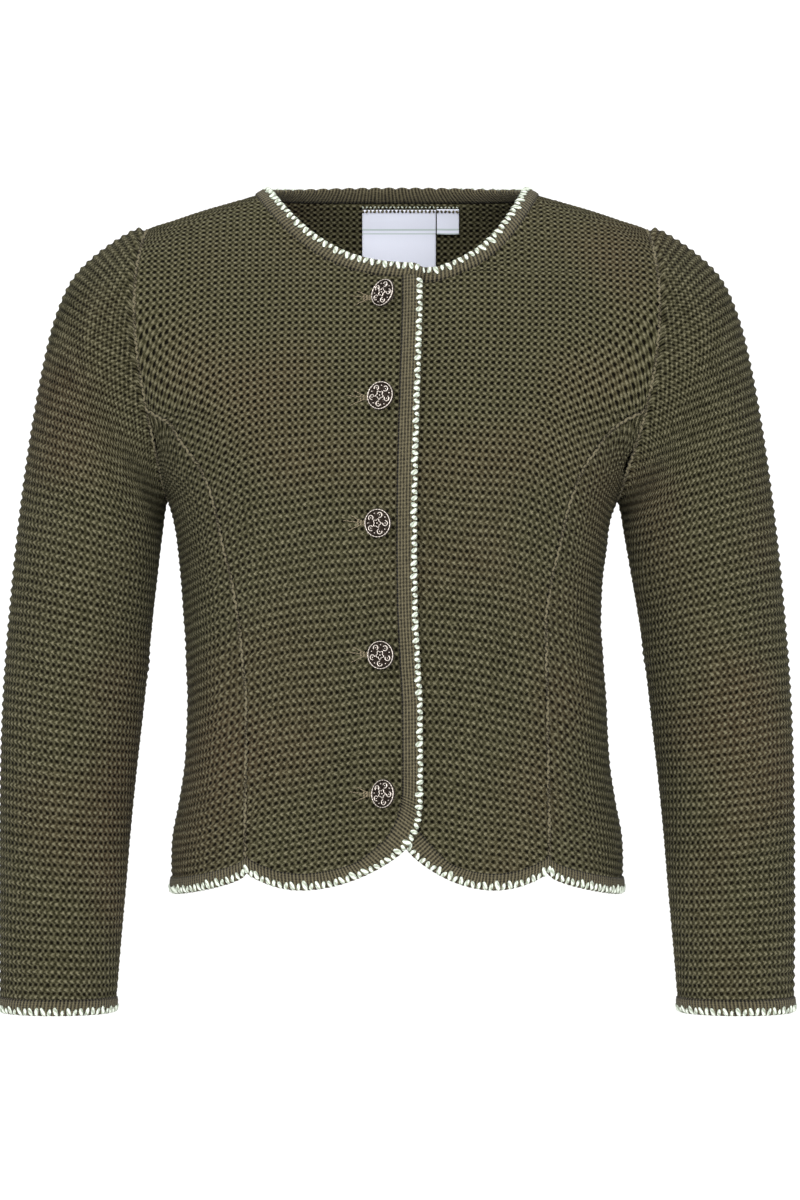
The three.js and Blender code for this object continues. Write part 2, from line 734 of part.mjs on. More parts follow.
// Turns the faces round where a band's stations run the other way
function facingOut(geometry) {
  const position = geometry.getAttribute('position');
  const index = geometry.getIndex().array;
  let volume = 0;
  const corner = (at) => new THREE.Vector3().fromBufferAttribute(position, index[at]);
  for (let at = 0; at < index.length; at += 3) volume += corner(at).dot(corner(at + 1).cross(corner(at + 2)));
  if (volume < 0) {
    const turned = [];
    for (let at = 0; at < index.length; at += 3) turned.push(index[at], index[at + 2], index[at + 1]);
    geometry.setIndex(turned);
  }
  return geometry;
}

// Picks stations at even distances along a path of places
function evenStations(placeAt, step) {
  const lengths = [0];
  let before = placeAt(0).edge;
  for (let index = 1; index <= PATH_STEPS; index += 1) {
    const here = placeAt(index / PATH_STEPS).edge;
    lengths.push(lengths[index - 1] + here.distanceTo(before));
    before = here;
  }
  const count = Math.max(2, Math.round(lengths[PATH_STEPS] / step));
  const stations = [];
  for (let station = 0; station <= count; station += 1) {
    const wanted = lengths[PATH_STEPS] * station / count;
    let index = lengths.findIndex((length) => length >= wanted - 1e-9);
    index = clamp(index, 1, PATH_STEPS);
    const share = (wanted - lengths[index - 1]) / (lengths[index] - lengths[index - 1] || 1);
    stations.push(placeAt((index - 1 + clamp(share, 0, 1)) / PATH_STEPS));
  }
  return stations;
}

function stationAt(edge, root, dips) {
  const place = ({ x, z, back }) => clothAt(turnAt(x, z, back), z, dips);
  const outer = place(edge);
  const seam = place(root);
  return { edge: outer.point, root: seam.point, normal: outer.normal.add(seam.normal).normalize() };
}

function neckStations() {
  const placeAt = (share) => {
    const fromEnd = Math.min(share, 1 - share);
    if (fromEnd < NECK_FRONT_SHARE) {
      const side = share < 0.5 ? -1 : 1;
      const start = side < 0 ? NECK_START : 0;
      const out = fromEnd / NECK_FRONT_SHARE;
      const along = mix(start, 1, Math.sin(clamp(out, 0, 1) * Math.PI / 2));
      const edge = frontNeckPlace(NECK_EDGE, side, along);
      const root = frontNeckPlace(NECK_SEAM, side, along);
      return stationAt({ ...edge, back: false }, { ...root, back: false }, side > 0);
    }
    const around = -Math.cos((share - NECK_FRONT_SHARE) / (1 - 2 * NECK_FRONT_SHARE) * Math.PI);
    const edgeX = NECK_EDGE.half * around;
    const rootX = NECK_SEAM.half * around;
    const edge = { x: edgeX, z: backNeckHeight(NECK_EDGE, edgeX), back: true };
    return stationAt(edge, { x: rootX, z: backNeckHeight(NECK_SEAM, rootX), back: true }, false);
  };
  const stations = evenStations(placeAt, STATION_STEP.neck);
  const low = frontNeckPlace(NECK_EDGE, 1, 0);
  const seamLow = frontNeckPlace(NECK_SEAM, 1, 0);
  for (const x of NECK_UNDERLAP_X) {
    stations.push(stationAt({ x, z: low.z, back: false }, { x, z: seamLow.z, back: false }, true));
  }
  return stations;
}

function hemStation(edgeTurn, rootTurn, corner, dips) {
  const outer = clothAt(edgeTurn, hemHeight(edgeTurn), dips);
  const seam = clothAt(rootTurn, hemSeamHeight(rootTurn, corner, false), dips);
  return { edge: outer.point, root: seam.point, normal: outer.normal.add(seam.normal).normalize() };
}

// The band down a front edge, round its lower corner and along the hem to the side seam
function edgeStations(side, corner) {
  const edgeX = -side * PLACKET_EDGE_X;
  const rootX = -side * PLACKET_ROOT_X;
  const top = frontNeckPlace(NECK_SEAM, side, 0).z - 2 * HALF_GAP;
  const dips = side > 0;
  const stations = [];
  for (let step = 0; step <= EDGE_STEPS; step += 1) {
    const z = mix(top, corner[0].z, step / EDGE_STEPS);
    stations.push(stationAt({ x: edgeX, z, back: false }, { x: rootX, z, back: false }, dips));
  }
  for (const row of corner.slice(1)) {
    stations.push(stationAt({ x: row.x, z: row.z, back: false },
      { x: row.rootX, z: row.rootZ, back: false }, dips));
  }
  const last = corner[corner.length - 1];
  const startTurn = turnAt(last.rootX + side * HEM_LEAD, HEM_MEAN_Z, false);
  const hemAt = (share) => {
    const rootTurn = mix(startTurn, side * Math.PI / 2, share);
    const ahead = (last.x - last.rootX) * clamp(1 - share * CATCH_UP, 0, 1);
    const turn = turnAt(bodyPoint(rootTurn, HEM_MEAN_Z).x + ahead, HEM_MEAN_Z, false);
    const edgeTurn = share * CATCH_UP < 1 ? turn : rootTurn;
    return hemStation(edgeTurn, rootTurn, corner, dips);
  };
  stations.push(...evenStations(hemAt, STATION_STEP.hem).slice(1));
  const end = stations[stations.length - 1];
  end.edge.y -= 2 * HALF_GAP;
  end.root.y -= 2 * HALF_GAP;
  return stations;
}

function backHemStations() {
  const placeAt = (share) => {
    const turn = mix(Math.PI / 2, Math.PI * 1.5, share);
    return hemStation(turn, turn, null, false);
  };
  const stations = evenStations(placeAt, STATION_STEP.hem);
  for (const end of [stations[0], stations[stations.length - 1]]) {
    end.edge.y += 2 * HALF_GAP;
    end.root.y += 2 * HALF_GAP;
  }
  return stations;
}

function bandMesh(name, stations) {
  return pieceMesh(name, facingOut(bandGeometry(stations, false)), FINISHES.rib);
}

function cuffBand(name, side) {
  const stations = [];
  const last = SLEEVE_RINGS.length - 1;
  for (const turn of sleeveTurns()) {
    stations.push({
      root: sleevePoint(last, turn, side),
      edge: sleevePoint(last, turn, side, CUFF_END),
      normal: sleeveNormal(last, turn, side),
    });
  }
  return pieceMesh(name, facingOut(bandGeometry(stations, true)), FINISHES.rib);
}

// Trims

// A round button with a rim, a ring of petals and a raised middle. It stands turned on its shank:
// one side of its rim is close to the cloth and the other is lifted off it.
function button(name, { z, turned }) {
  const angle = THREE.MathUtils.degToRad(turned);
  const { point, normal } = clothAt(turnAt(BUTTON.x, z, false), z, false);
  const across = new THREE.Vector3(0, 0, 1).cross(normal).normalize();
  const up = normal.clone().cross(across);
  const right = across.clone().multiplyScalar(Math.cos(angle)).addScaledVector(normal, Math.sin(angle));
  const out = normal.clone().multiplyScalar(Math.cos(angle)).addScaledVector(across, -Math.sin(angle));
  const rise = BUTTON.lift + BUTTON.radius * Math.sin(angle);
  const middle = lean(point).addScaledVector(normal, rise);
  const spot = (share, around, height) => middle.clone().addScaledVector(out, height)
    .addScaledVector(right, share * BUTTON.radius * Math.cos(around))
    .addScaledVector(up, share * BUTTON.radius * Math.sin(around));
  const shankSide = SHANK_SHARE * BUTTON.radius * Math.sin(angle);
  const shank = { share: SHANK_SHARE, height: -(rise - BUTTON.lift - shankSide) / Math.cos(angle), petal: 0 };
  const profile = [shank, ...BUTTON_PROFILE];
  const points = [];
  for (const row of profile) {
    for (let side = 0; side < BUTTON.sides; side += 1) {
      const around = 2 * Math.PI * side / BUTTON.sides;
      points.push(spot(row.share, around, row.height + row.petal * Math.cos(PETALS * around)));
    }
  }
  const bottom = points.push(spot(0, 0, shank.height)) - 1;
  const top = points.push(spot(0, 0, BUTTON.top)) - 1;
  const faces = [];
  const last = (profile.length - 1) * BUTTON.sides;
  for (let side = 0; side < BUTTON.sides; side += 1) {
    const next = (side + 1) % BUTTON.sides;
    faces.push(bottom, next, side, top, last + side, last + next);
    for (let row = 0; row < profile.length - 1; row += 1) {
      const here = row * BUTTON.sides;
      const above = here + BUTTON.sides;
      faces.push(here + side, here + next, above + next, here + side, above + next, above + side);
    }
  }
  const geometry = new THREE.BufferGeometry();
  geometry.setAttribute('position', new THREE.Float32BufferAttribute(points.flatMap((p) => p.toArray()), 3));
  geometry.setIndex(faces);
  return pieceMesh(name, facingOut(geometry), FINISHES.silver);
}

// A woven label that hangs inside the back from the neck seam
function label(row) {
  const face = [];
  const backing = [];
  for (let down = 0; down <= LABEL_GRID; down += 1) {
    face.push([]);
    backing.push([]);
    for (let across = 0; across <= LABEL_GRID; across += 1) {
      const z = mix(row.top, row.bottom, down / LABEL_GRID);
      const turn = turnAt(mix(row.from, row.to, across / LABEL_GRID), z, true);
      const { point, normal } = clothAt(turn, z, false);
      const away = WALL + row.lift + row.lean * (down / LABEL_GRID) ** 2;
      backing[down].push(point.clone().addScaledVector(normal, -away));
      face[down].push(point.clone().addScaledVector(normal, -away - LABEL_THICKNESS));
    }
  }
  return pieceMesh(row.name, facingOut(wallGeometry(backing, face, false)), FINISHES.label);
}

const neck = neckStations();
const rightEdge = edgeStations(-1, RIGHT_CORNER);
const leftEdge = edgeStations(1, LEFT_CORNER);
const backHem = backHemStations();
const neckRoom = bandRoom(neck);
const rightRoom = bandRoom(rightEdge);
const leftRoom = bandRoom(leftEdge);

const cardigan = new THREE.Group();
cardigan.add(frontPanel('front_right', -1, RIGHT_CORNER, [neckRoom, rightRoom]));
cardigan.add(frontPanel('front_left', 1, LEFT_CORNER, [neckRoom, leftRoom]));
cardigan.add(sidePanel('side_right', -1, [rightRoom]));
cardigan.add(sidePanel('side_left', 1, [leftRoom]));
cardigan.add(backPanel([neckRoom, bandRoom(backHem)]));
cardigan.add(sleeve('sleeve_right', -1));
cardigan.add(sleeve('sleeve_left', 1));
cardigan.add(bandMesh('neck_band', neck));
cardigan.add(bandMesh('edge_band_right', rightEdge));
cardigan.add(bandMesh('edge_band_left', leftEdge));
cardigan.add(bandMesh('edge_band_back', backHem));
cardigan.add(cuffBand('cuff_band_right', -1));
cardigan.add(cuffBand('cuff_band_left', 1));
BUTTONS.forEach((row, index) => cardigan.add(button(`button_${index + 1}`, row)));
LABELS.forEach((row) => cardigan.add(label(row)));

export default cardigan;
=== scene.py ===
"""Dresses the trachten cardigan: garter-knit panels, rib bands, cream overcasting, silver buttons.

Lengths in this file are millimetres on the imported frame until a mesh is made, where they become metres.
+X is the wearer's left, -Y the front, +Z up, and the origin is the middle of the neck opening.
"""
import logging
import math
from dataclasses import dataclass, field
from enum import Enum
from typing import Callable, Sequence

import bpy
import numpy as np
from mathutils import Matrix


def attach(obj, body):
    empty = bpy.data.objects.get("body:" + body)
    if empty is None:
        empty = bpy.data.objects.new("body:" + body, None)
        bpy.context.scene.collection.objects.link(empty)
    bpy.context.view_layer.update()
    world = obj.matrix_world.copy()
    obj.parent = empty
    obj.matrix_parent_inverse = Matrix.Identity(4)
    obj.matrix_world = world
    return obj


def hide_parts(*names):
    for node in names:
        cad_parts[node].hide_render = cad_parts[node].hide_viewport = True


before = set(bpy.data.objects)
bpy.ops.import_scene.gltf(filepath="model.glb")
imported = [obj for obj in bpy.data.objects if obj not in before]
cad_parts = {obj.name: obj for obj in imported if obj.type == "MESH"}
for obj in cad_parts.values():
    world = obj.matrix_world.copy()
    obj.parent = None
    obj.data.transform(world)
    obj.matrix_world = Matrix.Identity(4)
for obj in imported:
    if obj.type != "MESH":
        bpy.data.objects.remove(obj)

LOG = logging.getLogger("cardigan")
Array = np.ndarray
Material = bpy.types.Material
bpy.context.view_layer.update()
BODY = "root"
MM = 0.001
TURN = 2 * math.pi
HALVINGS = 30


def smooth(value: Array, low: float, high: float) -> Array:
    """Eases from 0 at low to 1 at high."""
    share = np.clip((np.asarray(value, float) - low) / (high - low), 0.0, 1.0)
    return share * share * (3.0 - 2.0 * share)


def mix(a: Array, b: Array, share: Array) -> Array:
    """Blends from a to b by a share."""
    return a + (b - a) * share


def signed_power(value: Array, power: float) -> Array:
    """Raises a size to a power and keeps its sign."""
    return np.sign(value) * np.abs(value) ** power


def unit(vectors: Array) -> Array:
    """Scales vectors to length one."""
    return vectors / np.maximum(np.linalg.norm(vectors, axis=-1, keepdims=True), 1e-9)


def run_along(path: Array) -> Array:
    """Gives the length run along a path at each of its points."""
    return np.concatenate([[0], np.cumsum(np.linalg.norm(np.diff(path, axis=0), axis=1))])


def read_along(wanted: Array, length: Array, values: Array) -> Array:
    """Reads rows of three values at wanted lengths."""
    return np.stack([np.interp(wanted, length, values[:, axis]) for axis in range(3)], axis=1)


def grid_area(grid: Array, closed: bool) -> float:
    """Adds up the cells of a grid of points.

    Args:
        grid: points in millimetres.
        closed: whether the last column meets the first.

    Returns:
        The area in square metres.
    """
    here, after = (grid, np.roll(grid, -1, axis=1)) if closed else (grid[:, :-1], grid[:, 1:])
    down, across = here[1:] - here[:-1], (after - here)[:-1]
    return float(np.linalg.norm(np.cross(down, across), axis=-1).sum()) * MM * MM


def rise_of(right: Array, high: Array, tilt: float, length: float, width: float, depth: float) -> Array:
    """Gives the rise of one soft fold.

    Args:
        right: distances to the right of the fold's middle.
        high: distances above it.
        tilt: the fold's slope in degrees.
        length: how far it reaches.
        width: how wide it is.
        depth: its rise, or below zero its depth.

    Returns:
        The rise over the plain cloth.
    """
    angle = math.radians(tilt)
    along = (right * math.cos(angle) + high * math.sin(angle)) / length
    over = (high * math.cos(angle) - right * math.sin(angle)) / width
    return depth * np.exp(-(along**2) - over**2)


@dataclass(frozen=True)
class Table:
    """A short table read smoothly by its first column, which falls from row to row."""

    columns: tuple[str, ...]
    rows: tuple[tuple[float, ...], ...]

    def at(self, column: str, z: Array) -> Array:
        """Reads a column at heights z.

        Args:
            column: the column's name.
            z: heights, or whatever the first column holds.

        Returns:
            The smooth values, level past both ends.
        """
        key = np.array([row[0] for row in self.rows])
        values = np.array([row[self.columns.index(column)] for row in self.rows])
        last = len(key) - 1
        before, after = np.maximum(np.arange(last + 1) - 1, 0), np.minimum(np.arange(last + 1) + 1, last)
        slope = (values[after] - values[before]) / (key[after] - key[before])
        z = np.clip(np.asarray(z, float), key[-1], key[0])
        low = np.clip(np.searchsorted(-key, -z, side="right") - 1, 0, last - 1)
        step = key[low + 1] - key[low]
        t = (z - key[low]) / step
        lean = step * (t * (1 - t) ** 2 * slope[low] - t * t * (1 - t) * slope[low + 1])
        return mix(values[low], values[low + 1], t * t * (3 - 2 * t)) + lean


@dataclass(frozen=True)
class Fold:
    """A soft trough or ridge in the body's cloth, placed as seen from the front."""

    x: float
    z: float
    back: bool
    tilt: float
    length: float
    width: float
    depth: float


@dataclass(frozen=True)
class NeckLine:
    """A line round the neck: its half width, its drop at the front and its rise at the back."""

    half: float
    drop: float
    rise: float


@dataclass(frozen=True)
class Corner:
    """The lower corner of a front: outer edge points and the points of the seam behind the band."""

    rows: tuple[tuple[float, float, float, float], ...]

    def tucked(self, share: float) -> Array:
        """Gives the seam's points moved a share of the way to the edge, as rows of x and z."""
        table = np.array(self.rows)
        return mix(table[:, 2:4], table[:, 0:2], share)


@dataclass
class Body:
    """The body's surface: sections from the neck to the hem, the neck lines and the hem's scallops."""

    squareness: float = 2.4
    wall: float = 2.4
    underarm: float = -162.5
    armhole_cup: float = 9.0
    overlap_depth: float = 4.6
    overlap: tuple[float, float] = (17.0, 36.0)
    neck_low_x: float = 14.0
    neck_edge: NeckLine = NeckLine(66, 42, 3)
    neck_seam: NeckLine = NeckLine(74.6, 46.6, 0.8)
    neck_tuck: NeckLine = NeckLine(71, 44.4, 1.5)
    neck_round: tuple[float, float, float] = (2.8, 2.5, 2.5)
    hem_mean: float = -353.0
    hem_start: float = -200.0
    hem_band: float = 9.0
    tuck: float = 0.35
    sections: Table = Table(("z", "half", "front", "back"), (
        (6, 60, 14, 38), (4, 63, 16, 40), (1, 66, 20, 42.5), (-4.5, 79, 25, 46), (-11, 101, 30, 50),
        (-16, 116, 34, 53), (-21.5, 131, 37.5, 55.5), (-40, 138, 48, 62), (-60, 138, 58, 67),
        (-90, 136, 68, 72), (-120, 130, 75, 74), (-162.5, 118, 78, 73), (-173, 114.5, 77.5, 72),
        (-184, 112.4, 77, 71), (-215, 109.8, 73, 67), (-246, 109.4, 71, 66), (-270, 109.8, 72, 67.5),
        (-300, 111.3, 75, 71), (-320, 114.2, 77, 74), (-341, 117.9, 79, 76.5), (-372, 118, 80, 78)))
    princess: Table = Table(("z", "x"), (
        (-116.5, 129), (-124, 116.7), (-133.4, 108.8), (-143.5, 100.6), (-154, 95), (-165, 91),
        (-190, 85.5), (-204, 82), (-230, 78.5), (-275, 77), (-372, 78)))
    leaning: Table = Table(("z", "x"), (
        (10, 0), (-60, 0), (-110, -1.5), (-163, -2.8), (-215, -2.6), (-246, -1.3), (-270, 0), (-440, 0)))
    armhole: tuple[float, float, float, float, float] = (131, -21.5, 118, -162.5, 44)
    right_corner: Corner = Corner((
        (13.2, -300, 2.1, -300), (12.9, -318, 1.9, -313), (11.2, -330, 0.6, -321.5),
        (7.4, -338.5, -2.2, -329.5), (1.6, -344.5, -6.4, -336.5)))
    left_corner: Corner = Corner((
        (-13.2, -300, -2.1, -300), (-12.4, -316, -1.2, -309), (-8.6, -329, 2, -317),
        (-2.4, -337, 7, -325.5), (4.5, -342, 13, -333.5)))
    hem_front_peak: tuple[float, float] = (4.5, -341.0)
    hem_seam_peak: tuple[float, float] = (77.5, -354.3)
    hem_back_peak: float = -345.0
    hem_front_low: tuple[float, float] = (50.5, -363.0)
    hem_side_low: float = -368.5
    folds: tuple[Fold, ...] = (
        Fold(-119, -128, False, 52, 20, 6, -2.2), Fold(117, -140, False, -48, 24, 7, -2.6),
        Fold(103, -176, False, -60, 22, 8, 1.4), Fold(-112, -133, True, 50, 22, 7, -2.2),
        Fold(112, -133, True, -50, 22, 7, -2.2))
    creases: tuple[Fold, ...] = (
        Fold(-108, -152, False, 62, 15, 4.5, -1.0), Fold(-99, -138, False, 47, 18, 5, 0.9),
        Fold(-92, -232, False, 18, 24, 7, -0.9), Fold(-60, -226, False, 8, 26, 8, 0.6),
        Fold(86, -224, False, -16, 26, 7, -1.0), Fold(52, -236, False, -9, 24, 9, 0.7),
        Fold(-70, -300, False, 78, 30, 9, 0.9), Fold(63, -306, False, -80, 28, 8, 0.8),
        Fold(-34, -90, False, 60, 26, 9, -0.5), Fold(60, -92, False, -55, 28, 10, -0.6),
        Fold(100, -62, False, -66, 24, 6, -0.8), Fold(-104, -58, False, 68, 22, 6, -0.7),
        Fold(-70, -232, True, -12, 32, 8, -1.4), Fold(74, -240, True, 10, 30, 8, -1.3),
        Fold(8, -252, True, 3, 38, 9, -0.9), Fold(-20, -214, True, -6, 34, 10, 0.8),
        Fold(88, -180, True, 64, 26, 8, 1.1), Fold(-90, -176, True, -62, 28, 8, 1.0),
        Fold(-58, -316, True, 82, 26, 10, 1.0), Fold(46, -322, True, -84, 26, 9, 0.9),
        Fold(-92, -70, True, -64, 26, 7, -0.9), Fold(95, -66, True, 66, 24, 7, -0.9))

    def armhole_at(self, z: Array) -> tuple[Array, Array]:
        """Gives the armhole edge's distance from the middle and its depth at heights z.

        Args:
            z: heights, in millimetres.

        Returns:
            Distances and depths.
        """
        out_x, out_z, in_x, in_z, depth = self.armhole
        along = np.clip((z - (out_z + in_z) / 2) / ((out_z - in_z) / 2), -1, 1)
        round_ = np.sqrt(1 - along**2)
        x = (out_x + in_x) / 2 + (out_x - in_x) / 2 * along
        return x + self.armhole_cup * round_**2 * (1 + 0.4 * along), depth * round_

    def half_width(self, z: Array, back: Array) -> Array:
        """Gives half the body's width; beside the armhole the surface passes through its edge.

        Args:
            z: heights, in millimetres.
            back: whether the back is meant.

        Returns:
            Half widths.
        """
        z, back = np.broadcast_arrays(np.asarray(z, float), back)
        edge_x, edge_y = self.armhole_at(z)
        depth = np.where(back, self.sections.at("back", z), self.sections.at("front", z))
        share = np.clip(edge_y / depth, 0, 0.999) ** self.squareness
        beside = edge_x / (1 - share) ** (1 / self.squareness)
        free = (z > self.armhole[1]) | (z < self.underarm)
        return np.where(free, self.sections.at("half", z), beside)

    def point(self, turn: Array, z: Array) -> Array:
        """Gives the plain body's points; turn 0 is the middle front, a quarter turn the left side.

        Args:
            turn: turns round it, in radians.
            z: heights, in millimetres.

        Returns:
            The points.
        """
        turn, z = np.broadcast_arrays(np.asarray(turn, float), np.asarray(z, float))
        back = np.cos(turn) < 0
        depth = np.where(back, self.sections.at("back", z), self.sections.at("front", z))
        power = 2 / self.squareness
        x = self.half_width(z, back) * signed_power(np.sin(turn), power)
        return np.stack([x, -depth * signed_power(np.cos(turn), power), z], axis=-1)

    def turn_at(self, x: Array, z: Array, back: bool) -> Array:
        """Finds the turn at which the body's section at height z has the given x.

        Args:
            x: distances from the middle, the left positive.
            z: heights, in millimetres.
            back: whether the back is meant.

        Returns:
            Turns, in radians.
        """
        share = np.clip(np.abs(x) / self.half_width(z, back), 0, 1)
        turn = np.arcsin(share ** (self.squareness / 2))
        return np.where(np.asarray(x) < 0, -1, 1) * (math.pi - turn if back else turn)

    def princess_turn(self, side: int, z: Array) -> Array:
        """Gives the turn of a princess seam at heights z."""
        return self.turn_at(side * self.princess.at("x", z), z, False)

    def cloth_at(self, x: Array, z: Array, back: bool = False, dips: bool = False) -> tuple[Array, Array]:
        """Gives points of the cloth's outer face by x and z, and the way out of it."""
        return self.cloth(self.turn_at(x, z, back), z, dips)

    def cloth(self, turn: Array, z: Array, dips: bool = False) -> tuple[Array, Array]:
        """Gives points of the cloth's outer face, folds and overlap included, and the way out of it.

        Args:
            turn: turns round it, in radians.
            z: heights, in millimetres.
            dips: whether the cloth dips under the right front.

        Returns:
            Points and ways out.
        """
        turn, z = np.broadcast_arrays(np.asarray(turn, float), np.asarray(z, float))
        across = self.point(turn + 0.002, z) - self.point(turn - 0.002, z)
        up = self.point(turn, z + 0.25) - self.point(turn, z - 0.25)
        normal = unit(np.cross(across, up))
        point = self.point(turn, z)
        rise = np.zeros(z.shape)
        for fold in self.folds + self.creases:
            here = (point[..., 1] > 0) == fold.back
            rise += here * rise_of(point[..., 0] - fold.x, point[..., 2] - fold.z,
                                   fold.tilt, fold.length, fold.width, fold.depth)
        if dips:
            rise -= self.overlap_depth * (1 - smooth(point[..., 0], *self.overlap))
        return point + normal * rise[..., None], normal

    def lean(self, points: Array) -> Array:
        """Leans the waist a little to the wearer's right and leaves the sleeves' outer sides.

        Args:
            points: the points.

        Returns:
            The moved points.
        """
        share = 1 - smooth(np.abs(points[..., 0]), 112, 136)
        moved = points.copy()
        moved[..., 0] += share * self.leaning.at("x", points[..., 2])
        return moved

    def ridge_height(self, x: float) -> float:
        """Finds the shoulder line's height at a distance from the middle.

        Args:
            x: distance from the middle.

        Returns:
            The height.
        """
        high, low = 6.0, self.armhole[1]
        for _ in range(HALVINGS):
            middle = (high + low) / 2
            narrow = self.sections.at("half", middle) < x
            high, low = (middle, low) if narrow else (high, middle)
        return (high + low) / 2

    def front_neck(self, line: NeckLine, side: int, share: Array) -> tuple[Array, Array]:
        """Gives x and z on a front neck line; share 0 is its lowest point, 1 the shoulder.

        Args:
            line: the neck line's sizes.
            side: -1 for the right, 1 for the left.
            share: shares of the way along the line.

        Returns:
            x and z.
        """
        reach = line.half - side * self.neck_low_x
        power = self.neck_round[0 if side < 0 else 1]
        x = self.neck_low_x + side * share * reach
        return x, self.ridge_height(line.half) - line.drop * (1 - share**power)

    def front_neck_x(self, line: NeckLine, side: int, z: Array) -> Array:
        """Gives the x at which a front neck line passes height z.

        Args:
            line: the neck line's sizes.
            side: -1 for the right, 1 for the left.
            z: heights, in millimetres.

        Returns:
            Distances.
        """
        power = self.neck_round[0 if side < 0 else 1]
        share = np.clip(1 - (self.ridge_height(line.half) - z) / line.drop, 0, 1) ** (1 / power)
        return self.front_neck(line, side, share)[0]

    def back_neck(self, line: NeckLine, x: Array) -> Array:
        """Gives a back neck line's height at x."""
        share = np.clip(np.abs(x) / line.half, 0, 1)
        return self.ridge_height(line.half) + line.rise * (1 - share ** self.neck_round[2])

    def hem_height(self, turn: Array) -> Array:
        """Gives the height of the hem's lower edge round the body.

        Args:
            turn: turns round it, in radians.

        Returns:
            Heights.
        """
        turn = np.asarray(turn, float)
        back = np.cos(turn) < 0
        x = self.point(turn, self.hem_mean)[..., 0]
        peak_x, peak_z = self.hem_seam_peak
        middle = np.where(back, 0.0, self.hem_front_peak[0])
        top = np.where(back, self.hem_back_peak, self.hem_front_peak[1])
        side = np.where(x < middle, -1, 1)
        low_x, low_z = self.hem_front_low
        span = np.where(back, low_x - 3, low_x - side * middle)
        away = np.abs(x - middle)
        first = mix(top, low_z, np.sin(math.pi / 2 * np.clip(away / span, 0, 1)) ** 0.75)
        left = (peak_x - np.abs(x)) / (peak_x - np.abs(middle + side * span))
        second = mix(peak_z, low_z, np.sin(math.pi / 2 * np.clip(left, 0, 1)) ** 0.75)
        seam_turn = float(abs(self.turn_at(peak_x, self.hem_mean, False)))
        ahead = np.abs(np.arctan2(np.sin(turn), np.cos(turn)))
        beyond = np.where(back, math.pi - ahead, ahead) - seam_turn
        share = np.clip(beyond / (math.pi / 2 - seam_turn), 0, 1)
        third = mix(peak_z, self.hem_side_low, np.sin(math.pi / 2 * share) ** 0.5)
        return np.where(np.abs(x) >= peak_x, third, np.where(away < span, first, second))

    def hem_seam(self, turn: Array, corner: Corner | None, tucked: bool) -> Array:
        """Gives the height of the seam above the hem band, or of the panels' edge tucked below it.

        Args:
            turn: turns round it, in radians.
            corner: the front's lower corner, or None.
            tucked: whether the panels' edge is meant.

        Returns:
            Heights.
        """
        turn = np.asarray(turn, float)
        drop = self.hem_band * (1 - self.tuck if tucked else 1)
        plain = self.hem_height(turn) + drop
        if corner is None:
            return plain
        x = self.point(turn, self.hem_mean)[..., 0]
        last_x, last_z = corner.tucked(self.tuck if tucked else 0.0)[-1]
        inside = x > last_x if corner is self.right_corner else x < last_x
        at_corner = self.hem_height(self.turn_at(last_x, self.hem_mean, False)) + drop
        eased = plain + (last_z - at_corner) * (1 - np.clip(np.abs(x - last_x) / 14, 0, 1))
        return np.where(np.cos(turn) < 0, plain, np.where(inside, last_z, eased))

    def row_height(self, nominal: Array, turn: Array, corner: Corner | None) -> Array:
        """Gives the height of a row: level near the top, following the hem further down."""
        share = smooth(-nominal, -self.hem_start, -self.hem_mean)
        return nominal + share * (self.hem_seam(turn, corner, True) - self.hem_mean)


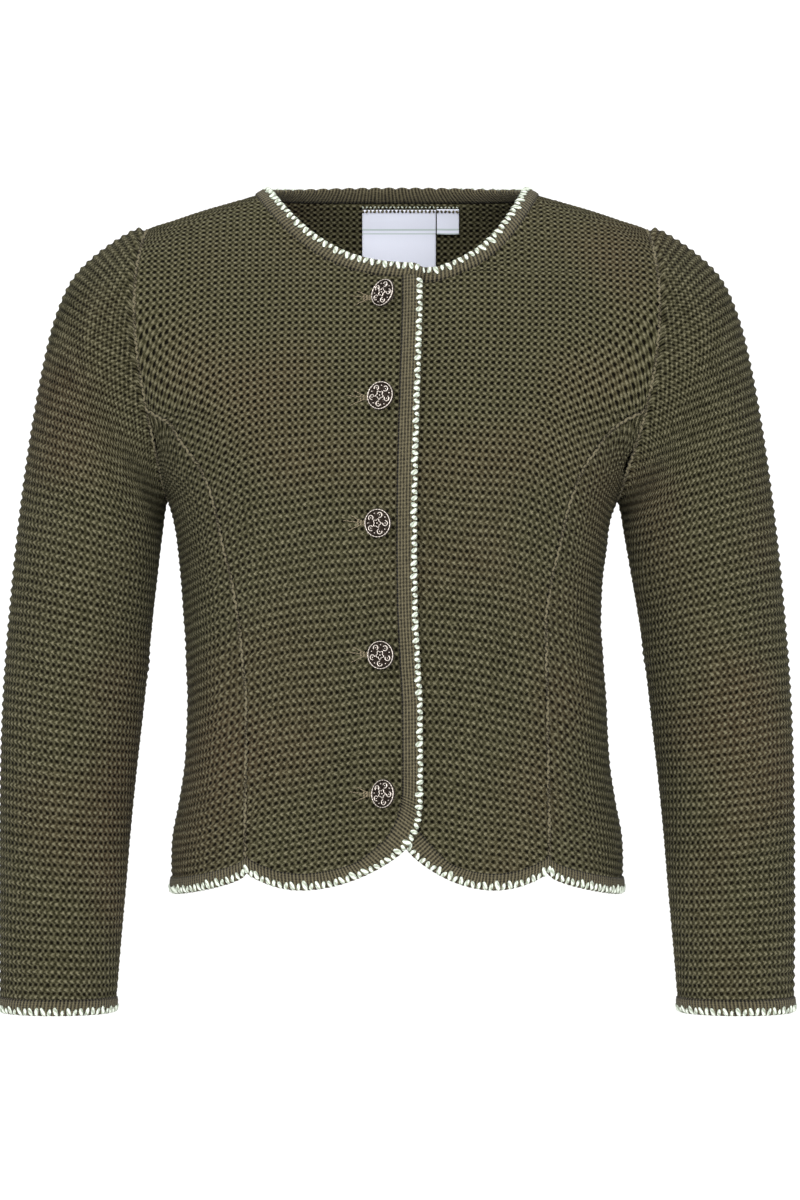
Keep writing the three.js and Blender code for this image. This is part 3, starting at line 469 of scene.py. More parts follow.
@dataclass
class SleeveForm:
    """A sleeve's surface: rings that fan from the armhole to the cuff."""

    rings: tuple[tuple[float, ...], ...] = (
        (131, -21.5, 118, -162.5, 44, 9), (137.5, -20.6, 118.6, -164.2, 45, 9),
        (156, -32.3, 119, -166, 46, 8), (170.4, -47, 119.4, -167.8, 46, 7),
        (179.6, -68, 119.8, -169.8, 45.5, 5), (185.2, -90, 120.1, -172.2, 45, 3.5),
        (189.7, -113, 120.6, -175.8, 44, 2), (193.8, -138, 121.4, -181.5, 43, 1),
        (197.6, -166, 123, -192, 42, 0), (200.8, -194, 125, -206, 41, 0),
        (203.2, -219, 127.4, -223, 40, 0), (205.6, -247, 130.4, -247.5, 38.5, 0),
        (207.2, -275, 133.4, -275, 37, 0), (208.2, -305, 136.8, -305, 35, 0),
        (208.6, -335, 139.8, -335, 33, 0), (208.8, -365, 142.3, -365, 31, 0),
        (208.7, -395, 145, -395, 29.5, 0), (208.4, -422.6, 147.3, -422.6, 28, 0))
    cuff_end: tuple[float, ...] = (208, -431.2, 148.2, -431.2, 27.6, 0)
    creases: tuple[tuple[int, float, float, float, float, float, float], ...] = (
        (-1, 2.55, -158, -55, 24, 6, -1.6), (-1, 2.2, -190, -38, 26, 7, 1.0),
        (-1, 2.4, -226, -24, 22, 6, -1.1),
        (-1, 1.2, -252, -12, 26, 8, -0.8), (-1, 2.0, -288, 14, 24, 7, 0.8), (-1, 1.0, -366, 8, 26, 9, -0.7),
        (-1, 4.1, -205, 24, 28, 7, -1.4), (-1, 3.7, -246, 10, 26, 7, 1.1), (-1, 4.6, -292, -12, 28, 8, -0.9),
        (-1, 4.9, -120, 38, 26, 9, -0.8), (1, 2.5, -150, -52, 26, 6, -1.8), (1, 2.1, -184, -36, 28, 7, 0.9),
        (1, 2.45, -216, -26, 22, 6, -1.2), (1, 1.3, -244, -10, 28, 8, -0.8), (1, 2.1, -300, 12, 24, 7, 0.9),
        (1, 1.1, -352, 9, 26, 9, -0.8), (1, 4.0, -198, 26, 28, 7, -1.5), (1, 3.8, -240, 12, 26, 7, 1.0),
        (1, 4.7, -300, -10, 28, 8, -0.9), (1, 4.8, -112, 40, 26, 9, -0.9))
    turn_reach: float = 38.0
    row_tilt: Table = Table(("z", "tilt"), (
        (-18, 68), (-32, 50), (-47, 38), (-68, 29), (-120, 19), (-200, 13), (-300, 7), (-430, 1)))

    def values(self, along: Array, end: float = 0.0) -> list[Array]:
        """Reads the ring table at counts of rings along, or past its end towards the cuff's edge.

        Args:
            along: counts of rings from the armhole.
            end: share of the way on to the cuff's edge.

        Returns:
            One array a column.
        """
        names = ("ring", "out_x", "out_z", "in_x", "in_z", "depth", "cup")
        table = Table(names, tuple((-index, *ring) for index, ring in enumerate(self.rings)))
        read = [table.at(name, -np.asarray(along, float)) for name in names[1:]]
        return [mix(value, self.cuff_end[index], end) for index, value in enumerate(read)]

    def point(self, along: Array, turn: Array, side: int, end: float = 0.0) -> Array:
        """Gives points of a sleeve; turn 0 is the outer line and a quarter turn the front.

        Args:
            along: counts of rings from the armhole.
            turn: turns round it, in radians.
            side: -1 for the right, 1 for the left.
            end: share of the way on to the cuff's edge.

        Returns:
            The points.
        """
        out_x, out_z, in_x, in_z, depth, cup = self.values(along, end)
        level, round_ = np.cos(turn), np.sin(turn)
        x = mix(in_x, out_x, (1 + level) / 2) + cup * round_**2 * (1 + 0.4 * level)
        z = mix(in_z, out_z, (1 + level) / 2)
        return np.stack(np.broadcast_arrays(side * x, -depth * round_, z), axis=-1)

    def normal(self, along: Array, turn: Array, side: int) -> Array:
        """Gives the way out of a sleeve's surface.

        Args:
            along: counts of rings from the armhole.
            turn: turns round it, in radians.
            side: -1 for the right, 1 for the left.

        Returns:
            Unit vectors.
        """
        near = np.clip(along, 0.02, len(self.rings) - 1.02)
        down = self.point(near + 0.02, turn, side) - self.point(near - 0.02, turn, side)
        around = self.point(near, turn + 0.01, side) - self.point(near, turn - 0.01, side)
        normal = unit(np.cross(down, around) * -side)
        at_armhole = 1 - smooth(np.asarray(along), 0, 1)
        normal[..., 0] *= np.where(side * normal[..., 0] > 0, 1 - at_armhole, 1.0)
        return unit(normal)

    def cloth(self, along: Array, turn: Array, side: int) -> tuple[Array, Array]:
        """Gives a sleeve's cloth with its soft creases, and the way out of it.

        Args:
            along: counts of rings from the armhole.
            turn: turns round it, in radians.
            side: -1 for the right, 1 for the left.

        Returns:
            Points and ways out.
        """
        point, normal = self.point(along, turn, side), self.normal(along, turn, side)
        rise = np.zeros(point.shape[:-1])
        for place, at_turn, at_z, *form in self.creases:
            if place == side:
                rise += rise_of((turn - at_turn) * self.turn_reach, point[..., 2] - at_z, *form)
        rise *= smooth(np.broadcast_to(along, rise.shape), 0, 2)
        return point + normal * rise[..., None], normal

    def row_count(self, points: Array, side: int, pitch: float) -> Array:
        """Counts the knit rows from the cap down to each point; rows slope in from the outer line.

        Args:
            points: the points.
            side: -1 for the right, 1 for the left.
            pitch: distance from one to the next.

        Returns:
            Counts of rows.
        """
        along = np.linspace(0, len(self.rings) - 1, 240)
        out_x, out_z = self.values(along)[:2]
        length = np.concatenate([[0], np.cumsum(np.hypot(np.diff(out_x), np.diff(out_z)))])
        tilt = np.radians(self.row_tilt.at("tilt", out_z))
        across, height = side * points[..., 0].ravel(), points[..., 2].ravel()
        past = (across[:, None] - out_x) * np.sin(tilt) - (height[:, None] - out_z) * np.cos(tilt)
        first = np.clip(np.argmax(past < 0, axis=1), 1, len(along) - 1)
        first = np.where((past < 0).any(axis=1), first, len(along) - 1)
        row = np.arange(len(first))
        share = past[row, first - 1] / (past[row, first - 1] - past[row, first])
        return (mix(length[first - 1], length[first], share) / pitch).reshape(points.shape[:-1])


class Socket:
    """Wraps a shader socket so that expressions on values become Math nodes."""

    def __init__(self, material: "MaterialNodes", socket: bpy.types.NodeSocket) -> None:
        """Keeps the material and the socket."""
        self.material, self.socket = material, socket

    def math(self, operation: str, *others: "Socket | float", clamp: bool = False) -> "Socket":
        """Adds a Math node on this value.

        Args:
            operation: the Math node's operation.
            others: the other operands, as sockets or numbers.
            clamp: whether the result stays from 0 to 1.

        Returns:
            The result's socket.
        """
        settings = {"operation": operation, "use_clamp": clamp}
        return self.material.node("ShaderNodeMath", settings, dict(enumerate((self, *others))))

    def __add__(self, other: "Socket | float") -> "Socket":
        """Adds."""
        return self.math("ADD", other)

    __radd__ = __add__

    def __mul__(self, other: "Socket | float") -> "Socket":
        """Multiplies."""
        return self.math("MULTIPLY", other)

    __rmul__ = __mul__

    def __sub__(self, other: "Socket | float") -> "Socket":
        """Subtracts."""
        return self.math("SUBTRACT", other)

    def __rsub__(self, other: float) -> "Socket":
        """Subtracts this value from a number."""
        return self.material.node("ShaderNodeMath", {"operation": "SUBTRACT"}, {0: other, 1: self})

    def __truediv__(self, other: "Socket | float") -> "Socket":
        """Divides."""
        return self.math("DIVIDE", other)

    def wave(self) -> "Socket":
        """Gives a wave from 0 to 1 with its top at each whole number."""
        return (self * TURN).math("COSINE") * 0.5 + 0.5

    def distance(self, place: float) -> "Socket":
        """Gives the distance from a place."""
        return (self - place).math("ABSOLUTE")

    def held(self) -> "Socket":
        """Keeps the value from 0 to 1."""
        return self.math("ADD", 0, clamp=True)

    def ease(self, low: "Socket | float", high: "Socket | float") -> "Socket":
        """Eases from 0 at low to 1 at high."""
        inputs = {"Value": self, "From Min": low, "From Max": high}
        return self.material.node("ShaderNodeMapRange", {"interpolation_type": "SMOOTHSTEP"}, inputs)


class MaterialNodes:
    """A new material's node tree with one way to add a node."""

    def __init__(self, name: str) -> None:
        """Makes the material with its Principled shader.

        Args:
            name: name that it gets.
        """
        self.material = bpy.data.materials.new(name)
        self.material.use_nodes = True
        self.tree = self.material.node_tree
        self.shader = self.tree.nodes["Principled BSDF"]

    def node(self, kind: str, settings: dict, inputs: dict, output: int | str = 0) -> Socket:
        """Adds a node.

        Args:
            kind: the node's type.
            settings: its properties, set first.
            inputs: values or sockets by input name or number.
            output: the output wanted.

        Returns:
            The wanted output.
        """
        made = self.tree.nodes.new(kind)
        for name, value in settings.items():
            setattr(made, name, value)
        for name, value in inputs.items():
            self.feed(made.inputs[name], value)
        return Socket(self, made.outputs[output])

    def feed(self, target: bpy.types.NodeSocket, value: "Socket | float | Sequence[float]") -> None:
        """Links a socket to an input, or sets the input's value.

        Args:
            target: the input to feed.
            value: A socket or a plain value.
        """
        if isinstance(value, Socket):
            self.tree.links.new(value.socket, target)
        else:
            target.default_value = value

    def set(self, **values: "Socket | float | Sequence[float]") -> None:
        """Feeds the shader's inputs, named with underscores for spaces."""
        for name, value in values.items():
            self.feed(self.shader.inputs[name.replace("_", " ")], value)

    def knit(self) -> tuple[Socket, Socket]:
        """Reads the two knit coordinates.

        Returns:
            Both coordinates.
        """
        where = self.node("ShaderNodeUVMap", {"uv_map": "knit"}, {})
        across, down = (self.node("ShaderNodeSeparateXYZ", {}, {0: where}, output) for output in (0, 1))
        return across, down

    def opened(self) -> Socket:
        """Reads how far the knit is stretched open."""
        return self.node("ShaderNodeAttribute", {"attribute_name": "open"}, {}, "Fac")

    def place(self) -> Socket:
        """Reads the place on the object."""
        return self.node("ShaderNodeTexCoord", {}, {}, "Object")

    def blend(self, share: Socket, low: "Socket | Sequence[float]",
              high: "Socket | Sequence[float]") -> Socket:
        """Mixes two colours by a share."""
        return self.node("ShaderNodeMix", {"data_type": "RGBA"}, {0: share, 6: low, 7: high}, 2)

    def noise(self, vector: Socket, scale: float, detail: float = 2.0) -> Socket:
        """Adds a noise value."""
        return self.node("ShaderNodeTexNoise", {}, {"Vector": vector, "Scale": scale, "Detail": detail})

    def bump(self, height: Socket, distance: float, strength: float = 1.0) -> Socket:
        """Adds a bump that feeds Normal."""
        return self.node("ShaderNodeBump", {}, {"Height": height, "Distance": distance, "Strength": strength})


def mix_value(low: "Socket | float", high: "Socket | float", share: Socket) -> Socket:
    """Blends two values, sockets or numbers, by a share."""
    return share * high + (1 - share) * low


def rgb(red: float, green: float, blue: float) -> tuple[float, float, float, float]:
    """Turns 0 to 255 screen values into a linear colour.

    Args:
        red: red, 0 to 255.
        green: green, 0 to 255.
        blue: blue, 0 to 255.

    Returns:
        Linear colour with alpha.
    """
    def linear(value: float) -> float:
        """Turns one screen value into a linear one."""
        share = value / 255
        return share / 12.92 if share <= 0.04045 else ((share + 0.055) / 1.055) ** 2.4
    return (linear(red), linear(green), linear(blue), 1.0)


@dataclass(frozen=True)
class KnitFinish:
    """Garter knit: seeds in staggered rows, with dark openings between them where the cloth is stretched; the
    openings, the gaps between the seeds and the grooves between the ridges carry painted shade, and the
    seeds' raised tops a painted highlight.
    """

    name: str = "garter_knit"
    # Lighter colour of the seeds' raised tops, a painted highlight, and of the yarn's plies and fuzz.
    light: tuple[float, ...] = rgb(107, 103, 82)
    yarn: tuple[float, ...] = rgb(58, 56, 38)
    brown: tuple[float, ...] = rgb(71, 57, 42)
    # Colour of the painted shade in the holes, the gaps between the seeds and the grooves.
    painted_shade_colour: tuple[float, ...] = rgb(7, 5, 1)
    slant: float = 0.2
    stroke: float = 1.0
    plies: tuple[float, float] = (9.0, 5.0)
    stray_scale: float = 170
    strays: tuple[float, float, float] = (0.38, 0.16, 0.4)
    speck_scale: float = 700
    fuzz_scale: float = 2600
    patch_scale: float = 24
    patch: float = 0.16
    brown_scale: float = 11
    brown_most: float = 0.6
    # How much painted shade darkens the grooves between the ridges.
    groove_shade_strength: float = 0.42
    bump: tuple[float, float] = (0.0013, 0.9)

    def build(self) -> Material:
        """Builds the material from the knit coordinates: stitches across and ridges down.

        Returns:
            The material.
        """
        nodes = MaterialNodes(self.name)
        across, down = nodes.knit()
        opened, place = nodes.opened(), nodes.place()
        stray = nodes.noise(place, self.stray_scale, 1) - 0.5
        stray_seed, stray_row, stray_stroke = (stray * share for share in self.strays)
        zigzag = ((down * 2).math("FRACT") * 2).distance(1) * self.slant
        column = ((across + zigzag + stray_seed) * TURN).math("COSINE")
        row = ((down + stray_row) * TURN).math("COSINE")
        vee = (down.math("FRACT") * 2).distance(1) * self.stroke
        strokes = (across + vee + stray_stroke).wave()
        seeds = 0.5 - column * row * 0.5
        ridge = row * 0.5 + 0.5
        fuzz = nodes.noise(place, self.fuzz_scale, 3)
        speck = nodes.noise(place, self.speck_scale, 1) - 0.5
        tight = seeds * 0.6 + strokes * 0.14 + ridge * 0.2 + speck * 0.9
        loose = seeds * 0.66 + ridge * 0.2 + column * 0.07 + 0.07 + strokes * 0.07 + speck * 0.3
        mesh = mix_value(tight, loose, opened)
        plies = ((across * self.plies[0] + down * self.plies[1]) * TURN).math("SINE") * 0.5 + 0.5
        # Painted highlight: the seeds' raised tops are lighter.
        painted_highlight_tops = mesh.ease(mix_value(0.35, 0.5, opened), 1.0)
        browned = nodes.noise(place, self.brown_scale, 1).ease(0.45, 0.75) * self.brown_most
        tint = nodes.blend(browned, self.yarn, self.brown)
        base = nodes.blend((painted_highlight_tops * 0.9 + plies * 0.1 + fuzz * 0.3 - 0.2).held(), tint, self.light)
        # Painted shade in the grooves between the ridges, fading out where the knit is opened.
        painted_groove_shade = mix_value(ridge.ease(0.0, 0.5) * self.groove_shade_strength + (1 - self.groove_shade_strength), 1.0, opened)
        # Painted shade: the holes and the gaps between the seeds, with the groove shade, darken the colour;
        # the patches add random tone.
        shade = mesh.ease(mix_value(-0.08, 0.24, opened), 0.62) * painted_groove_shade
        patch = (nodes.noise(place, self.patch_scale, 2) - 0.5) * self.patch
        colour = nodes.blend((shade + patch).held(), self.painted_shade_colour, base)
        relief = mesh.ease(0, 0.9) + plies * 0.08 + fuzz * 0.18
        nodes.set(Base_Color=colour, Roughness=0.95, Sheen_Weight=0.01, Specular_IOR_Level=0.04,
                  Normal=nodes.bump(relief, *self.bump))
        return nodes.material


@dataclass(frozen=True)
class YarnFinish:
    """Plain yarn, ribbed or overcast: fine cords across and along, with a fuzzy matt skin; painted shade
    darkens the valleys between the cords and, where asked, a strip along the band's seam.
    """

    name: str
    light: tuple[float, ...]
    # Colour of the painted shade in the valleys between the cords and along the band's seam; the fuzz also
    # mixes it in as texture.
    painted_shade_colour: tuple[float, ...]
    cords: tuple[float, float]
    depth: float
    # How much painted shade darkens a strip along the band's seam.
    painted_groove_shade: float = 0.0
    # Width of that painted shade strip, in millimetres.
    seam_shade_width: float = 1.9
    rib_slant: float = 0.12
    uneven_scale: float = 800
    fuzz_scale: float = 1900

    def build(self) -> Material:
        """Builds the material from the knit coordinates: millimetres along and across the piece.

        Returns:
            The material.
        """
        nodes = MaterialNodes(self.name)
        along, across = nodes.knit()
        opened, place = nodes.opened(), nodes.place()
        ribs = ((along + across * self.rib_slant) / self.cords[0]).wave()
        columns = (across / self.cords[1]).wave()
        fuzz = nodes.noise(place, self.fuzz_scale, 3)
        woven = mix_value(ribs * 0.75 + columns * 0.25, ribs * 0.35 + columns * 0.65, opened)
        woven = woven + (nodes.noise(place, self.uneven_scale, 1) - 0.5) * 0.7
        height = woven.ease(0.05, 0.9) + fuzz * 0.3
        # Painted shade: a dark strip along the band's seam, and the valleys between the cords darker than
        # their tops.
        seam = (1 - across.ease(0.0, self.seam_shade_width)) * self.painted_groove_shade
        share = (woven.ease(0.0, 0.8) * 0.8 + fuzz * 0.5 - 0.15 - seam).held()
        nodes.set(Base_Color=nodes.blend(share, self.painted_shade_colour, self.light), Roughness=0.93, Sheen_Weight=0.04,
                  Specular_IOR_Level=0.15, Normal=nodes.bump(height, self.depth, 0.8))
        return nodes.material


@dataclass(frozen=True)
class SilverFinish:
    """Antique silver: worn bright on the raised ornament, dark in the hollows."""

    name: str = "antique_silver"
    bright: tuple[float, ...] = rgb(196, 187, 178)
    dark: tuple[float, ...] = rgb(34, 26, 21)
    stain_scale: float = 900
    grain_scale: float = 2400

    def build(self) -> Material:
        """Builds the material; the second coordinate of the knit map holds the ornament's height.

        Returns:
            The material.
        """
        nodes = MaterialNodes(self.name)
        high = nodes.knit()[1]
        place = nodes.place()
        stain = nodes.noise(place, self.stain_scale, 3)
        worn = (high.ease(0.4, 0.9) + stain * 0.4 - 0.22).held()
        nodes.set(Base_Color=nodes.blend(worn, self.dark, self.bright), Metallic=0.9,
                  Roughness=0.5 - worn * 0.14,
                  Normal=nodes.bump(nodes.noise(place, self.grain_scale, 2), 0.00012, 0.6))
        return nodes.material


@dataclass(frozen=True)
class LabelFinish:
    """White woven satin: fine warp lines with a soft gloss."""

    name: str = "woven_label"
    light: tuple[float, ...] = rgb(226, 228, 238)
    shade: tuple[float, ...] = rgb(196, 200, 216)
    stripe: tuple[float, ...] = rgb(150, 168, 160)
    stripes: tuple[tuple[float, tuple[float, float]], ...] = ((10.0, (0.35, 0.6)), (12.2, (0.2, 0.4)))
    thread_pitches: tuple[float, float] = (0.35, 0.5)

    def build(self) -> Material:
        """Builds the material; the knit map holds millimetres across and down the label.

        Returns:
            The material.
        """
        nodes = MaterialNodes(self.name)
        across, down = nodes.knit()
        warp, weft = ((way * (TURN / pitch)).math("SINE") * 0.5 + 0.5
                      for way, pitch in zip((across, down), self.thread_pitches))
        thick, thin = (1 - down.distance(height).ease(*edge) for height, edge in self.stripes)
        lines = thick.math("MAXIMUM", thin)
        cloth = nodes.blend(warp * 0.6 + weft * 0.3, self.shade, self.light)
        nodes.set(Base_Color=nodes.blend(lines * 0.75, cloth, self.stripe), Roughness=0.5, Sheen_Weight=0.1,
                  Normal=nodes.bump(warp + weft * 0.6, 0.00008, 0.7))
        return nodes.material


class Slot(Enum):
    """The material slots."""

    KNIT = "knit"
    RIB = "rib"
    CREAM = "cream_yarn"
    SILVER = "silver"
    LABEL = "label"


@dataclass
class MeshDraft:
    """Points, faces and maps that are gathered before a Blender mesh is made."""

    points: list[Array] = field(default_factory=list)
    coordinates: list[Array] = field(default_factory=list)
    opened: list[Array] = field(default_factory=list)
    faces: list[Sequence[int]] = field(default_factory=list)
    count: int = 0

    def add(self, points: Array, coordinates: Array, opened: Array | float = 0.0) -> int:
        """Adds points with their knit coordinates and openness and gives the first one's number.

        Args:
            points: the points.
            coordinates: two knit coordinates a point.
            opened: how open the knit is, 0 to 1.

        Returns:
            The first point's number.
        """
        first = self.count
        flat = points.reshape(-1, 3)
        self.points.append(flat)
        self.coordinates.append(np.broadcast_to(coordinates, (*points.shape[:-1], 2)).reshape(-1, 2))
        self.opened.append(np.broadcast_to(opened, points.shape[:-1]).reshape(-1))
        self.count += len(flat)
        return first

    def quads(self, first: int, rows: int, columns: int, closed: bool, flip: bool) -> None:
        """Joins a grid of added points into quads; a closed grid's last column meets its first.

        Args:
            first: number of the first point.
            rows: count of rows.
            columns: count of columns.
            closed: whether the ends meet.
            flip: whether the faces turn over.
        """
        spans = columns if closed else columns - 1
        row, column = np.meshgrid(np.arange(rows - 1), np.arange(spans), indexing="ij")
        after = (column + 1) % columns
        corners = [row * columns + column, (row + 1) * columns + column,
                   (row + 1) * columns + after, row * columns + after]
        faces = first + np.stack(corners, axis=-1).reshape(-1, 4)
        self.faces.extend((faces[:, ::-1] if flip else faces).tolist())

    def cap(self, first: int, count: int, flip: bool) -> None:
        """Closes a ring of added points with one face."""
        ring = list(range(first, first + count))
        self.faces.append(ring[::-1] if flip else ring)

    def stitch(self, middle: Array, wide: Array, high: Array, swell: Array, sides: int,
               knit: Callable[[Array], tuple[Array, Array]], flip: bool) -> None:
        """Adds one closed stitch that swells and thins along its path.

        Args:
            middle: points along the stitch.
            wide: half its width, as a vector.
            high: half its height, as a vector.
            swell: its thickness at each point, as a share.
            sides: points round it.
            knit: gives the two knit coordinates from the angles round it.
            flip: whether the faces turn the other way.
        """
        angle = np.linspace(0, TURN, sides, endpoint=False)
        ring = (np.cos(angle)[:, None] * wide + np.sin(angle)[:, None] * high) * swell[:, None, None]
        coordinates = np.stack(np.broadcast_arrays(*knit(angle[None, :])), axis=-1)
        first = self.add(middle[:, None] + ring, coordinates)
        self.quads(first, len(swell), sides, True, flip)
        self.cap(first, sides, flip)
        self.cap(first + (len(swell) - 1) * sides, sides, not flip)

    def make(self, name: str, material: Material, slot: Slot,
             shift: Callable[[Array], Array] | None) -> bpy.types.Object:
        """Makes the object, in metres, smooth and dressed.

        Args:
            name: the piece's name.
            material: its finish.
            slot: not used.
            shift: what moves the points at the end, such as the lean.

        Returns:
            The new object, which rides on the body.
        """
        points = np.concatenate(self.points)
        points = shift(points) if shift else points
        mesh = bpy.data.meshes.new(name)
        mesh.from_pydata((points * MM).tolist(), [], self.faces)
        corner = np.empty(len(mesh.loops), dtype=np.int32)
        mesh.loops.foreach_get("vertex_index", corner)
        layer = mesh.uv_layers.new(name="knit")
        layer.data.foreach_set("uv", np.concatenate(self.coordinates)[corner].astype(np.float32).ravel())
        openness = mesh.attributes.new("open", "FLOAT", "POINT")
        openness.data.foreach_set("value", np.concatenate(self.opened).astype(np.float32))
        mesh.polygons.foreach_set("use_smooth", np.ones(len(mesh.polygons), dtype=bool))
        mesh.materials.append(material)
        mesh.validate()
        piece = bpy.data.objects.new(name, mesh)
        bpy.context.scene.collection.objects.link(piece)
        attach(piece, BODY)
        return piece


@dataclass
class KnitShell:
    """A wall of knitted cloth: a fine ridged outer face and a coarser inner one."""

    wall: float = 2.2
    ridge: float = 0.52
    step: int = 4

    def build(self, draft: MeshDraft, outer: Array, normal: Array, knit: Array, opened: Array,
              closed: bool, flip: bool) -> None:
        """Adds the wall to a draft.

        Args:
            draft: where the points and faces go.
            outer: a grid of points of the plain outer face.
            normal: the way out at each point.
            knit: stitch and ridge counts at each point.
            opened: how far the knit is stretched open.
            closed: whether the columns run right round a tube.
            flip: whether the faces turn the other way.
        """
        rows, columns = outer.shape[:2]
        ripple = np.cos(TURN * knit[..., 1])
        fade = np.minimum(smooth(np.arange(rows), 0, 5), smooth(rows - 1 - np.arange(rows), 0, 5))
        relief = self.ridge * (1 - 0.55 * opened) * ripple * fade[:, None]
        first = draft.add(outer + normal * relief[..., None], knit, opened)
        draft.quads(first, rows, columns, closed, flip)
        low_rows = np.arange(0, rows, self.step)
        low_columns = np.arange(0, columns, self.step)
        pick = np.ix_(low_rows, low_columns)
        second = draft.add((outer - normal * self.wall)[pick], knit[pick], opened[pick])
        few_rows, few = len(low_rows), len(low_columns)
        draft.quads(second, few_rows, few, closed, not flip)
        spans = few if closed else few - 1
        for row, low in ((0, 0), (rows - 1, few_rows - 1)):
            for span in range(spans):
                fine = [first + row * columns + (span * self.step + at) % columns
                        for at in range(self.step + 1)]
                face = fine + [second + low * few + (span + 1) % few, second + low * few + span]
                draft.faces.append(face if (row == 0) != flip else face[::-1])
        for column, low in () if closed else ((0, 0), (columns - 1, few - 1)):
            for span in range(few_rows - 1):
                fine = [first + (span * self.step + at) * columns + column for at in range(self.step + 1)]
                face = fine + [second + (span + 1) * few + low, second + span * few + low]
                draft.faces.append(face[::-1] if (column == 0) != flip else face)


